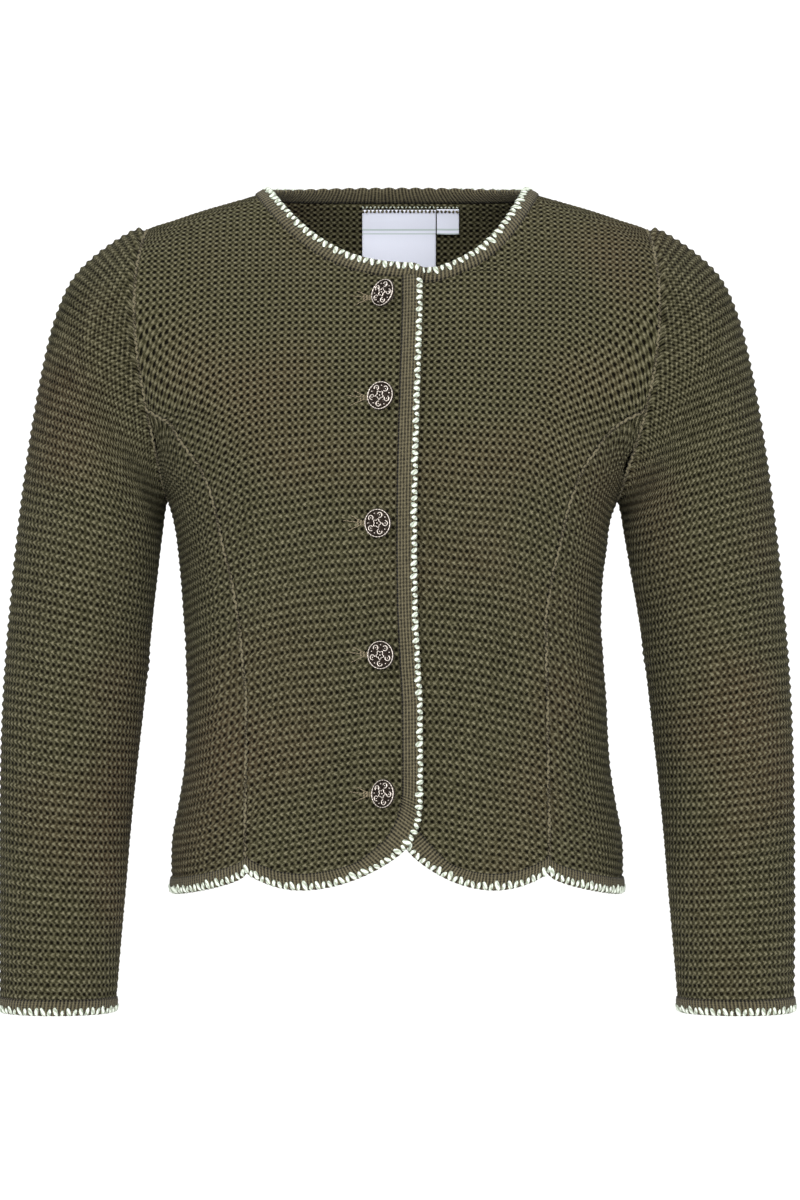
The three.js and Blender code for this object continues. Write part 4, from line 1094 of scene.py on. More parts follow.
@dataclass
class Fronts:
    """The body's five panels: two fronts, two side fronts and the back."""

    body: Body
    shell: KnitShell
    ridge_pitch: Table = Table(("z", "mm"), (
        (0, 3.4), (-75, 3.4), (-130, 3.9), (-150, 4.2), (-215, 4.5), (-280, 4.4), (-330, 4.0), (-370, 3.9)))
    stitch_pitch: Table = Table(("z", "mm"), (
        (0, 3.5), (-90, 3.5), (-150, 3.3), (-215, 3.05), (-280, 3.2), (-370, 3.5)))
    openness: Table = Table(("z", "share"), (
        (0, 0.85), (-40, 1), (-110, 1), (-150, 0.6), (-190, 0.3), (-260, 0.25), (-330, 0.4), (-370, 0.35)))
    middle_fall: Table = Table(("z", "slope"), (
        (0, 0), (-75, 0.03), (-160, 0.07), (-215, 0.1), (-320, 0.19), (-370, 0.19)))
    side_fall: Table = Table(("z", "slope"), (
        (-20, 0), (-60, 0.15), (-95, 0.6), (-130, 0.85), (-165, 0.7), (-215, 0.36), (-290, 0.22),
        (-370, 0.12)))
    side_start: Table = Table(("z", "x"), (
        (-20, 105), (-75, 96), (-120, 84), (-165, 76), (-215, 70), (-370, 72)))
    top_rows: int = 66
    chest_rows: int = 58
    low_rows: int = 308
    top: float = -1.9
    chest_top: float = -60.0
    princess_top: float = -116.5
    count_from: float = -163.0
    quarter_turn: float = 38.0
    fall_ease: tuple[float, float] = (25.0, 12.0)
    fall_pitch: float = 4.2
    sway: tuple[float, float] = (0.10, 0.07)
    inward: tuple[float, float] = (88.0, 118.0)
    fit_steps: int = 4

    def heights(self, start: float) -> Array:
        """Gives the nominal heights of the fine rows from a start down to the hem.

        Args:
            start: height of the first row.

        Returns:
            The heights.
        """
        body = self.body
        top = np.linspace(self.top, body.armhole[1], self.top_rows, endpoint=False)
        chest = np.linspace(body.armhole[1], self.chest_top, self.chest_rows, endpoint=False)
        low = np.linspace(self.chest_top, body.hem_mean, self.low_rows)
        rows = np.concatenate([top, chest, low])
        rows = rows[rows <= start + 0.01]
        return rows[(len(rows) - 1) % self.shell.step:]

    def inner_turn(self, side: int, corner: Corner, z: Array) -> Array:
        """Gives the turn of a front's inner border, under the neck band and the edge band.

        Args:
            side: -1 for the right, 1 for the left.
            corner: the front's lower corner, or None.
            z: heights, in millimetres.

        Returns:
            Turns.
        """
        body = self.body
        tucked = corner.tucked(body.tuck)
        edge = np.interp(-z, -tucked[:, 1], tucked[:, 0])
        neck = body.front_neck_x(body.neck_tuck, side, z)
        bottom = body.ridge_height(body.neck_tuck.half) - body.neck_tuck.drop
        in_neck = neck < edge if side < 0 else z > bottom
        return body.turn_at(np.where(in_neck, neck, edge), z, False)

    def outer_turn(self, side: int, z: Array) -> Array:
        """Gives the turn of a front's outer border: shoulder, armhole, then the princess seam.

        Args:
            side: -1 for the right, 1 for the left.
            z: heights, in millimetres.

        Returns:
            Turns.
        """
        body = self.body
        x = np.where(z > self.princess_top, body.armhole_at(z)[0], body.princess.at("x", z))
        turn = body.turn_at(side * x, z, False)
        return np.where(z > body.armhole[1], side * math.pi / 2, turn)

    def side_turn(self, side: int, z: Array, back: bool) -> Array:
        """Gives the turn of the armhole's lower edge and of the side seam below it.

        Args:
            side: -1 for the right, 1 for the left.
            z: heights, in millimetres.
            back: whether the back is meant.

        Returns:
            Turns.
        """
        turn = self.body.turn_at(side * self.body.armhole_at(z)[0], z, back)
        free = (z <= self.body.underarm) | (z > self.body.armhole[1])
        return np.where(free, side * math.pi / 2, turn)

    def grid(self, nominal: Array, columns: int, low: Callable, high: Callable,
             corner: Corner | None) -> tuple[Array, Array]:
        """Lays a grid of turns and heights between two borders.

        Args:
            nominal: nominal heights of the rows.
            columns: count of columns.
            low: gives one border's turn at heights.
            high: gives the other border's turn.
            corner: the front's lower corner, or None.

        Returns:
            Turns and heights.
        """
        body = self.body
        first, second = low(nominal), high(nominal)
        for _ in range(self.fit_steps):
            first = low(body.row_height(nominal, first, corner))
            second = high(body.row_height(nominal, second, corner))
        share = np.linspace(0, 1, columns + 1)
        turn = mix(first[:, None], second[:, None], share)
        return turn, body.row_height(nominal[:, None], turn, corner)

    def knit_counts(self, points: Array, turn: Array) -> tuple[Array, Array]:
        """Counts stitches and ridges over a panel and says how open the knit is.

        Args:
            points: the points.
            turn: turns round it, in radians.

        Returns:
            Knit coordinates and openness.
        """
        x, z = points[..., 0], points[..., 2]
        column = np.arange(z.shape[1])
        start = np.zeros((1, z.shape[1]))
        flat = np.diff(points[..., 1:], axis=0)
        down = np.concatenate([start, np.cumsum(np.hypot(flat[..., 0], flat[..., 1]), axis=0)])
        anchor = np.argmin(np.abs(z - self.count_from), axis=0)
        down = down - down[anchor, column] - (z[anchor, column] - self.count_from)
        steps = np.diff(down, axis=0) / self.ridge_pitch.at("mm", self.count_from - down)[1:]
        ridges = np.concatenate([start, np.cumsum(steps, axis=0)])
        ridges -= ridges[anchor, column]
        ahead = np.abs(np.arctan2(np.sin(turn), np.cos(turn)))
        away = np.where(ahead > math.pi / 2, math.pi - ahead, ahead)
        level = np.abs(x)
        reach = level + self.quarter_turn * smooth(away, 0.9, 1.75)
        beyond = level - self.side_start.at("x", z)
        middle_ease, side_ease = self.fall_ease
        fall = self.middle_fall.at("slope", z) * level**2 / (level + middle_ease)
        fall += self.side_fall.at("slope", z) * (beyond + np.sqrt(beyond**2 + side_ease**2)) / 2
        ridges = ridges - fall / self.fall_pitch
        ridges += self.sway[0] * np.sin(x / 17 + z / 41) + self.sway[1] * np.sin(x / 7.3 - z / 29)
        stitches = np.sign(x + 1e-9) * reach / self.stitch_pitch.at("mm", z)
        inward = 1 - smooth(reach, *self.inward)
        opened = self.openness.at("share", z) * (0.35 + 0.65 * np.where(z > -118, 1, inward))
        return np.stack([stitches, ridges], axis=-1), opened

    def fitted(self, start: float) -> Array:
        """Gives the heights from exactly a start, with as many more rows as the inner face needs.

        Args:
            start: height of the first row.

        Returns:
            The heights.
        """
        rows = self.heights(0)
        rows = rows[rows < start - 0.2]
        more = (-len(rows)) % self.shell.step + 1
        return np.concatenate([np.linspace(start, rows[0], more + 1)[:-1], rows])

    def panel(self, name: str, nominal: Array, columns: int, low: Callable, high: Callable,
              corner: Corner | None, dips: bool, material: Material) -> bpy.types.Object:
        """Builds one panel as a sheet.

        Args:
            name: name that it gets.
            nominal: nominal heights of the rows.
            columns: count of columns.
            low: gives one border's turn at heights.
            high: gives the other border's turn.
            corner: the front's lower corner, or None.
            dips: whether the cloth dips under the right front.
            material: its material.

        Returns:
            The piece.
        """
        turn, z = self.grid(nominal, columns, low, high, corner)
        outer, normal = self.body.cloth(turn, z, dips)
        knit, opened = self.knit_counts(outer, turn)
        draft = MeshDraft()
        self.shell.build(draft, outer, normal, knit, opened, False, turn[-1, 0] > turn[-1, -1])
        piece = draft.make(f"{name}_cloth", material, Slot.KNIT, self.body.lean)
        area = grid_area(outer, False)
        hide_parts(name)
        LOG.info("%s: %d faces, %.4f square metres", piece.name, len(piece.data.polygons), area)
        return piece

    def build(self, material: Material) -> None:
        """Builds the five panels.

        Args:
            material: material of the cloth.
        """
        body = self.body
        rows = self.heights(0)
        fronts = (("front_right", -1, body.right_corner), ("front_left", 1, body.left_corner))
        for name, side, corner in fronts:
            self.panel(name, rows, 64, lambda z, s=side, c=corner: self.inner_turn(s, c, z),
                       lambda z, s=side: self.outer_turn(s, z), corner, side > 0, material)
        low_rows = self.fitted(self.princess_top - 0.1)
        for name, side in (("side_right", -1), ("side_left", 1)):
            self.panel(name, low_rows, 36, lambda z, s=side: body.princess_turn(s, z),
                       lambda z, s=side: self.side_turn(s, z, False), None, False, material)
        self.panel("back", rows, 152, lambda z: self.side_turn(1, z, True),
                   lambda z: TURN + self.side_turn(-1, z, True), None, False, material)


@dataclass
class Sleeves:
    """The two set-in sleeves."""

    form: SleeveForm
    body: Body
    shell: KnitShell
    rings: int = 440
    around: int = 108
    row_pitch: float = 4.6
    stitch_pitch: float = 3.2
    opened: tuple[float, float] = (0.04, 0.26)
    sway: float = 0.08

    def build(self, material: Material) -> None:
        """Builds both sleeves as sheets cut flat and closed by an underarm seam.

        Args:
            material: its material.
        """
        along = np.linspace(0, len(self.form.rings) - 1, self.rings + 1)[:, None]
        turn = np.linspace(0, TURN, self.around, endpoint=False)[None, :]
        least, more = self.opened
        for name, side in (("sleeve_right", -1), ("sleeve_left", 1)):
            outer, normal = self.form.cloth(*np.broadcast_arrays(along, turn), side)
            ridges = self.form.row_count(outer, side, self.row_pitch)
            ridges += self.sway * np.sin(outer[..., 1] / 9 + outer[..., 2] / 33)
            step = np.linalg.norm(outer - np.roll(outer, 1, axis=1), axis=-1)
            total = step.sum(axis=1, keepdims=True)
            step[:, 0] = 0
            way = np.cumsum(step, axis=1)
            stitches = np.minimum(way, total - way) / self.stitch_pitch
            opened = np.broadcast_to(least + more * (1 - np.cos(turn)) / 2, outer.shape[:2])
            draft = MeshDraft()
            counts = np.stack([stitches, ridges], axis=-1)
            self.shell.build(draft, outer, normal, counts, opened, True, side > 0)
            piece = draft.make(f"{name}_cloth", material, Slot.KNIT, self.body.lean)
            area = grid_area(outer, True)
            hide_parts(name)
            LOG.info("%s: %d faces, %.4f square metres", piece.name, len(piece.data.polygons), area)


@dataclass
class Stations:
    """Stations along a band: its seam, its edge and the way out of the cloth."""

    root: Array
    edge: Array
    normal: Array

    def spread(self, pitch: float, closed: bool = False) -> "Stations":
        """Gives stations at an even pitch along the edge.

        Args:
            pitch: distance from one to the next.
            closed: whether the ends meet.

        Returns:
            The new stations.
        """
        root, edge, normal = self.root, self.edge, self.normal
        if closed:
            root, edge, normal = (np.concatenate([part, part[:1]]) for part in (root, edge, normal))
        length = run_along(edge)
        count = max(2, round(length[-1] / pitch))
        wanted = np.linspace(0, length[-1], count + 1)[: count if closed else count + 1]
        root, edge, normal = (read_along(wanted, length, part) for part in (root, edge, normal))
        return Stations(root, edge, unit(normal))


@dataclass
class Bands:
    """The rolled rib bands and the cream overcasting along their edges."""

    body: Body
    form: SleeveForm
    section: tuple[tuple[float, float], ...] = (
        (0.0, -0.3), (0.08, 0.75), (0.28, 1.15), (0.5, 1.25), (0.66, 0.95), (0.72, 0.75), (0.86, 0.7),
        (0.97, 0.1), (1.0, -0.8), (0.94, -1.9), (0.72, -2.6), (0.3, -2.7), (0.0, -2.3))
    step: float = 0.9
    width: float = 9.0
    picot_pitch: float = 7.2
    picot_height: float = 1.5
    picot_ends: tuple[float, float] = (8.0, 22.0)
    end_drop: float = 2.4
    underlap: tuple[float, ...] = (6.0, -4.0, -13.2)
    catch_up: float = 6.0
    pinch: float = 0.16
    stitch_pitch: float = 3.3
    stitch_sides: int = 8
    stitch_half: float = 0.72
    stitch_lift: float = 0.15
    pair: tuple[tuple[float, float, float], ...] = ((1.0, 0.55, 1.3), (0.86, -0.35, 1.12))
    back_neck_low: float = -30.0
    swell: tuple[float, ...] = (0.4, 0.86, 1.0, 1.0, 0.94, 0.6)
    cut_width: float = 0.0125

    def station(self, edge: tuple[Array, Array], root: tuple[Array, Array], back: bool,
                dips: bool) -> Stations:
        """Places stations on the cloth from x and z of the edge and the seam.

        Args:
            edge: x and z of the edge.
            root: x and z of the seam.
            back: whether the back is meant.
            dips: whether the cloth dips under the right front.

        Returns:
            The stations.
        """
        outer, out_way = self.body.cloth_at(*edge, back, dips)
        seam, seam_way = self.body.cloth_at(*root, back, dips)
        return Stations(seam, outer, unit(out_way + seam_way))

    @staticmethod
    def join(parts: Sequence[Stations]) -> Stations:
        """Joins runs of stations into one."""
        return Stations(*(np.concatenate([getattr(part, name) for part in parts])
                          for name in ("root", "edge", "normal")))

    def neck(self) -> Stations:
        """Gives the neck band's stations from the right front's edge round to the left front's.

        Returns:
            The stations.
        """
        body = self.body
        ease = np.sin(np.linspace(0, math.pi / 2, 120))
        parts = []
        for side, order in ((-1, 1), (1, -1)):
            share = (0.01 + 0.99 * ease if side < 0 else ease)[::order]
            x, z = body.front_neck(body.neck_edge, side, share)
            edge = (x, z - (self.end_drop * np.exp(-((x - x[0]) / 2.6) ** 2) if side < 0 else 0))
            root = body.front_neck(body.neck_seam, side, share)
            parts.append(self.station(edge, root, False, side > 0))
        around = -np.cos(np.linspace(0, math.pi, 320))
        edge_x, root_x = body.neck_edge.half * around, body.neck_seam.half * around
        back = self.station((edge_x, body.back_neck(body.neck_edge, edge_x)),
                            (root_x, body.back_neck(body.neck_seam, root_x)), True, False)
        length = run_along(back.edge)
        picot = np.abs(np.sin(math.pi * length / self.picot_pitch)) ** 0.7
        picot *= smooth(length, *self.picot_ends) * smooth(length[-1] - length, *self.picot_ends)
        back.edge = back.edge + unit(back.edge - back.root) * (self.picot_height * picot)[:, None]
        x = np.array(self.underlap)
        low, seam = (np.full(len(x), body.front_neck(line, 1, np.array(0.0))[1])
                     for line in (body.neck_edge, body.neck_seam))
        under = self.station((x, low), (x, seam), False, True)
        return self.join([parts[0], back, parts[1], under])

    def front_edge(self, side: int, corner: Corner) -> Stations:
        """Gives a front band's stations: down the edge, round the corner and along the hem.

        Args:
            side: -1 for the right, 1 for the left.
            corner: the front's lower corner, or None.

        Returns:
            The stations.
        """
        body = self.body
        rows = np.array(corner.rows)
        dips = side > 0
        top = float(body.front_neck(body.neck_seam, side, np.array(0.0))[1]) + 1.5
        z = np.linspace(top, rows[0, 1], 120)
        straight = self.station((np.full(120, rows[0, 0]), z), (np.full(120, rows[0, 2]), z), False, dips)
        fine = np.linspace(0, len(rows) - 1, 60)
        names = ("row", "x", "z", "root_x", "root_z")
        turned = Table(names, tuple((-index, *row) for index, row in enumerate(rows)))
        x, z, root_x, root_z = (turned.at(name, -fine) for name in names[1:])
        bend = self.station((x, z), (root_x, root_z), False, dips)
        start = float(body.turn_at(rows[-1, 2] + side * 0.5, body.hem_mean, False))
        share = np.linspace(0, 1, 260)
        root_turn = mix(start, side * math.pi / 2, share)
        ahead = (rows[-1, 0] - rows[-1, 2]) * np.clip(1 - share * self.catch_up, 0, 1)
        x = body.point(root_turn, body.hem_mean)[..., 0] + ahead
        edge_turn = np.where(share * self.catch_up < 1, body.turn_at(x, body.hem_mean, False), root_turn)
        hem = self.hem(edge_turn, root_turn, corner, dips)
        return self.join([straight, bend, hem])

    def hem(self, edge_turn: Array, root_turn: Array, corner: Corner | None, dips: bool) -> Stations:
        """Gives the hem band's stations at given turns.

        Args:
            edge_turn: turns at the edge.
            root_turn: turns at the seam.
            corner: the front's lower corner, or None.
            dips: whether the cloth dips under the right front.

        Returns:
            The stations.
        """
        outer, out_way = self.body.cloth(edge_turn, self.body.hem_height(edge_turn), dips)
        seam, seam_way = self.body.cloth(root_turn, self.body.hem_seam(root_turn, corner, False), dips)
        return Stations(seam, outer, unit(out_way + seam_way))

    def cuff(self, side: int) -> Stations:
        """Gives a cuff band's stations.

        Args:
            side: -1 for the right, 1 for the left.

        Returns:
            The stations.
        """
        turn = np.linspace(0, TURN, 200, endpoint=False)
        last = np.full(turn.shape, len(self.form.rings) - 1.0)
        return Stations(self.form.point(last, turn, side), self.form.point(last, turn, side, 1.0),
                        self.form.normal(last, turn, side))

    def band(self, node: str, line: Stations, closed: bool, material: Material, lean: bool) -> None:
        """Builds one rib band from its line of stations.

        Args:
            node: name of the solid it replaces.
            line: the band's stations.
            closed: whether the ends meet.
            material: its material.
            lean: whether the waist's lean applies.
        """
        at = line.spread(self.step, closed)
        count = len(at.root)
        distance = np.arange(count) * self.step
        share, height = np.array(self.section).T[:, None, :]
        across = at.edge - at.root
        pinch = (self.pinch * np.cos(TURN * distance / self.stitch_pitch))[:, None]
        rise = height + pinch * smooth(share, 0.6, 0.9)
        points = at.root[:, None] + across[:, None] * share[..., None] + at.normal[:, None] * rise[..., None]
        points -= unit(across)[:, None] * (pinch * 0.9 * smooth(share, 0.9, 1.0))[..., None]
        knit = np.stack(np.broadcast_arrays(distance[:, None], self.width * share), axis=-1)
        level = (np.abs(unit(across)[:, :1]) > 0.9) * 1.0
        draft = MeshDraft()
        draft.add(points, knit, np.broadcast_to(level, points.shape[:2]) if "edge" in node else 0.0)
        sides = len(self.section)
        if closed:
            draft.add(points[:1], knit[:1] + np.array([count * self.step, 0.0]))
        flip = float(np.dot(np.cross(at.edge[1] - at.edge[0], across[0]), at.normal[0])) > 0
        draft.quads(0, count + 1 if closed else count, sides, True, not flip)
        if not closed:
            draft.cap(0, sides, not flip)
            draft.cap((count - 1) * sides, sides, flip)
        piece = draft.make(f"{node}_rib", material, Slot.RIB, self.body.lean if lean else None)
        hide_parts(node)

    def overcast(self, name: str, line: Stations, closed: bool, material: Material,
                 width: float, lean: bool) -> None:
        """Builds the cream stitches that lie over a band's edge, in slanting pairs.

        Args:
            name: name that it gets.
            line: the band's stations.
            closed: whether the ends meet.
            material: its material.
            width: how far the stitches reach.
            lean: whether the waist's lean applies.
        """
        at = line.spread(self.stitch_pitch, closed)
        share_of, height_of = np.array(self.section[:9]).T
        path, swell = np.linspace(0, 1, len(self.swell)), np.array(self.swell)
        draft = MeshDraft()
        for number in range(0 if closed else 1, len(at.root)):
            edge, out = at.edge[number], at.normal[number]
            across = edge - at.root[number]
            reach = float(np.linalg.norm(across))
            ahead = np.cross(out, across / reach)
            long, slant, half = self.pair[number % 2]
            uneven = 0.1 * math.sin(number * 2.4) + 0.08 * math.sin(number * 0.71)
            last = 0.9 if edge[1] > 0 and edge[2] > self.back_neck_low else 1.0
            radial = 1 + 0.3 * abs(across[2] / reach) ** 2
            share = last - width * long * (1 + uneven) * radial / reach * (1 - path)
            height = np.interp(share, share_of, height_of) + self.stitch_lift
            middle = (at.root[number] + across * share[:, None] + out * height[:, None]
                      + ahead * (slant * (1 + uneven) * (path - 0.5) * 2)[:, None])
            wide = ahead * half * (1 + 0.6 * uneven) / radial**0.4
            draft.stitch(middle, wide, out * self.stitch_half, swell, self.stitch_sides,
                         lambda angle, n=number: (angle / 6, path[:, None] * 3 + n), False)
        draft.make(name, material, Slot.CREAM, self.body.lean if lean else None)
        LOG.info("%s: %d stitches", name, len(at.root))

    def build(self, rib: Material, cream: Material) -> None:
        """Builds every band and its overcasting.

        Args:
            rib: material of the bands.
            cream: material of the overcasting.
        """
        body = self.body
        back = np.linspace(math.pi / 2, math.pi * 1.5, 500)
        lines = (
            ("neck_band", self.neck(), False, True, 4.1),
            ("edge_band_right", self.front_edge(-1, body.right_corner), False, True, 3.3),
            ("edge_band_left", self.front_edge(1, body.left_corner), False, True, 3.3),
            ("edge_band_back", self.hem(back, back, None, False), False, True, 3.4),
            ("cuff_band_right", self.cuff(-1), True, False, 3.4),
            ("cuff_band_left", self.cuff(1), True, False, 3.4),
        )
        for node, line, closed, lean, width in lines:
            self.band(node, line, closed, rib, lean)
            self.overcast(f"{node}_overcast", line, closed, cream, width, lean)


@dataclass(frozen=True)
class Chain:
    """A row of small rounded stitches laid along a path."""

    pitch: float = 2.5
    length: float = 1.7
    half: float = 0.62
    height: float = 0.5
    slant: float = 0.35
    sides: int = 6
    look: float = 0.6
    swell: tuple[float, ...] = (0.25, 0.8, 1.0, 0.8, 0.25)

    def lay(self, draft: MeshDraft, path: Array, normal: Array) -> int:
        """Adds the stitches to a draft.

        Args:
            draft: where the points and faces go.
            path: points along the seam.
            normal: the way out of the cloth at each point.

        Returns:
            The number of stitches.
        """
        length = run_along(path)
        wanted = np.arange(self.pitch / 2, length[-1], self.pitch)
        at, way_out, before, after = (
            read_along(wanted + shift, length, part)
            for shift, part in ((0, path), (0, normal), (-self.look, path), (self.look, path)))
        ahead, out = unit(after - before), unit(way_out)
        side = np.cross(out, ahead)
        share, swell = np.linspace(-1, 1, len(self.swell)), np.array(self.swell)
        for number in range(len(wanted)):
            lean = self.slant * (1 if number % 2 else -1) * (1 + 0.3 * math.sin(number * 1.9))
            long = self.length * (1 + 0.15 * math.sin(number * 2.7))
            middle = at[number] + share[:, None] * (ahead[number] * long + side[number] * lean * long)
            draft.stitch(middle, side[number] * self.half, out[number] * self.height, swell, self.sides,
                         lambda angle, n=number: (angle / 5 + n, share[:, None] * 2), True)
        return len(wanted)


@dataclass
class Seams:
    """The seams that join the panels and the sleeves, each a raised chain of moss yarn."""

    body: Body
    form: SleeveForm
    princess: Chain = Chain(2.5, 1.7, 0.95, 0.8, 0.35)
    armhole: Chain = Chain(2.2, 1.5, 0.95, 0.9, 0.45)
    plain: Chain = Chain(2.6, 1.8, 0.7, 0.65, 0.15)
    lift: float = 0.65
    notch: tuple[float, float] = (77.0, -340.0)
    princess_top: float = -116.0
    shoulder_top: float = -5.5
    shoulder_lift: float = 0.2
    sunk: float = -0.35
    cap_lift: float = 0.25
    cap_lean: float = 0.3
    cap_ring: float = 0.4

    def on_body(self, turn: Array, z: Array, lift: float) -> tuple[Array, Array]:
        """Gives a path on the body's cloth and the way out of it."""
        point, normal = self.body.cloth(turn, z)
        return point + normal * lift, normal

    def make(self, name: str, chain: Chain, runs: Sequence[tuple[Array, Array]],
             material: Material) -> None:
        """Makes one piece of a seam's stitches.

        Args:
            name: name that it gets.
            chain: the kind of stitch.
            runs: paths with their ways out.
            material: its material.
        """
        draft = MeshDraft()
        count = sum(chain.lay(draft, path, normal) for path, normal in runs)
        draft.make(name, material, Slot.KNIT, self.body.lean)
        LOG.info("%s: %d stitches", name, count)

    def build(self, material: Material) -> None:
        """Builds the princess, armhole, side, shoulder and underarm seams of both sides.

        Args:
            material: its material.
        """
        body, form = self.body, self.form
        for word, side in (("right", -1), ("left", 1)):
            turn_end = body.turn_at(side * self.notch[0], np.array(self.notch[1]), False)
            low = float(body.hem_seam(turn_end, None, False))
            z = np.linspace(self.princess_top, low, 300)
            run = self.on_body(body.princess_turn(side, z), z, self.lift)
            self.make(f"princess_seam_{word}", self.princess, [run], material)
            around = np.linspace(0, TURN, 360)
            path = form.point(np.zeros(360), around, side)
            way = form.normal(np.full(360, self.cap_ring), around, side)
            edge_way = way + np.array([side * -self.cap_lean, 0, 0])
            run = (path + unit(edge_way) * self.cap_lift, edge_way)
            self.make(f"armhole_seam_{word}", self.armhole, [run], material)
            z = np.linspace(body.underarm, float(body.hem_seam(np.array(math.pi / 2), None, False)), 200)
            side_seam = self.on_body(np.full(200, side * math.pi / 2), z, self.sunk)
            z = np.linspace(self.shoulder_top, body.armhole[1], 100)
            shoulder = self.on_body(np.full(100, side * math.pi / 2), z, self.shoulder_lift)
            along = np.linspace(0.3, len(form.rings) - 1.0, 400)
            inner = np.full(400, math.pi)
            way = form.normal(along, inner, side)
            under = (form.point(along, inner, side) + way * self.sunk, way)
            self.make(f"side_seam_{word}", self.plain, [side_seam, shoulder], material)
            draft = MeshDraft()
            self.plain.lay(draft, *under)
            draft.make(f"sleeve_seam_{word}", material, Slot.KNIT, body.lean)


@dataclass
class Buttons:
    """Five round silver buttons with a general floral rosette."""

    body: Body
    radius: float = 7.5
    x: float = -6.0
    lift: float = 0.3
    heights: tuple[float, ...] = (-60.2, -112, -175.8, -242.8, -314)
    turned: tuple[float, ...] = (40, 26, 24, 24, 38)
    spins: tuple[float, ...] = (0.2, 0.5, 0.0, 0.35, 0.1)
    petals: int = 5
    beads: int = 26
    face_rings: int = 46
    around: int = 150
    shank: float = 0.24
    under_shares: tuple[float, float] = (1.0, 0.9)
    under_heights: tuple[float, float, float] = (1.4, 1.0, 0.9)
    hollow: float = 0.72
    curl: tuple[float, float, float] = (0.59, 0.17, 0.06)
    curl_end: tuple[float, float] = (2.3, 0.75)
    leaf: tuple[float, float, float] = (0.7, 0.63, 0.08)
    flower: tuple[float, float, float] = (0.25, 0.05, 0.06)
    bead_rim: tuple[float, float] = (0.93, 0.055)
    face: tuple[float, float, float] = (1.75, 0.5, 0.95)
    slit: tuple[float, float, float] = (11.5, 2.0, 0.75)
    pulls: tuple[tuple[float, float], ...] = ((0.42, 9.0), (0.1, 12.5), (-0.38, 10.0))
    pull_start: float = 5.5
    lips: Chain = Chain(1.5, 0.62, 0.95, 0.6, 0.1)
    pull: Chain = Chain(1.6, 1.15, 0.3, 0.3, 0.12)

    def spot(self, z: float, turned: float) -> tuple[Array, Array, Array, Array]:
        """Gives a button's middle and its right, up and outward ways, turned by the buttonhole's pull.

        Args:
            z: height of its middle.
            turned: turn about the vertical, in degrees.

        Returns:
            Middle, right, up and outward ways.
        """
        point, normal = self.body.cloth_at(np.array(self.x), np.array(z))
        across = unit(np.cross(np.array([0.0, 0.0, 1.0]), normal))
        angle = math.radians(turned)
        right = across * math.cos(angle) + normal * math.sin(angle)
        out = normal * math.cos(angle) - across * math.sin(angle)
        rise = self.lift + self.radius * math.sin(angle)
        return self.body.lean(point) + normal * rise, right, np.cross(normal, across), out

    def relief(self, radius: Array, angle: Array) -> tuple[Array, Array]:
        """Gives the button's height over its face and the height of its ornament from 0 to 1.

        Args:
            radius: distances from the middle.
            angle: angles round the button.

        Returns:
            Heights, and the ornament's share.
        """
        share = radius / self.radius
        x, z = share * np.cos(angle), share * np.sin(angle)
        (curl_at, curl_size, curl_width), (end_turn, end_share) = self.curl, self.curl_end
        (leaf_at, leaf_turn, leaf_width), (flower, wave, flower_width) = self.leaf, self.flower
        rim, rim_width = self.bead_rim
        lines = []
        for number in range(self.petals):
            way = TURN * number / self.petals
            curl_x, curl_z = x - curl_at * math.cos(way), z - curl_at * math.sin(way)
            out, around = np.hypot(curl_x, curl_z), np.arctan2(curl_z, curl_x) - way
            lines.append(self.line(out - curl_size, curl_width) * (np.cos(around - end_turn) < end_share))
            lines.append(0.9 * self.line(out, 0.07))
            side = way + leaf_turn
            leaf_x, leaf_z = x - leaf_at * math.cos(side), z - leaf_at * math.sin(side)
            lines.append(0.85 * self.line(np.hypot(leaf_x, leaf_z), leaf_width))
        lines.append(self.line(share - flower - wave * np.cos(self.petals * angle), flower_width))
        lines.append(self.line(share, 0.08))
        lines.append(self.line(share - rim, rim_width) * (0.9 + 0.1 * np.cos(self.beads * angle)))
        ornament = np.clip(np.maximum.reduce(lines), 0, 1)
        low, dome, relief = self.face
        edge = np.where(share > 0.97, (1 - share) / 0.03, 1.0)
        return low + dome * (1 - share**2) + relief * ornament * np.clip(edge, 0, 1) ** 0.5, ornament

    @staticmethod
    def line(away: Array, width: float) -> Array:
        """Gives a raised line's height by the distance from it."""
        return np.exp(-((away / width) ** 2))

    def buttonhole(self, number: int, z: float, material: Material) -> None:
        """Builds the whipped lips of a buttonhole and the cloth's pull lines beside its button.

        Args:
            number: its number.
            z: height of its middle.
            material: material of the stitches.
        """
        body = self.body
        draft = MeshDraft()
        start, stop, half = self.slit
        x = np.linspace(self.x - start, self.x - stop, 40)
        for away in (-half, half):
            height = z + away + 0 * x
            point, normal = body.cloth_at(x, height)
            self.lips.lay(draft, point + normal * 0.35, normal)
        for slope, length in self.pulls:
            run = np.linspace(0, 1, 30)
            x = self.x - self.pull_start - run * length
            height = z + slope * length * run**1.4
            point, normal = body.cloth_at(x, height)
            path = point + normal * (0.75 - 0.55 * run)[:, None]
            self.pull.lay(draft, path, normal)
        draft.make(f"buttonhole_{number}", material, Slot.KNIT, body.lean)

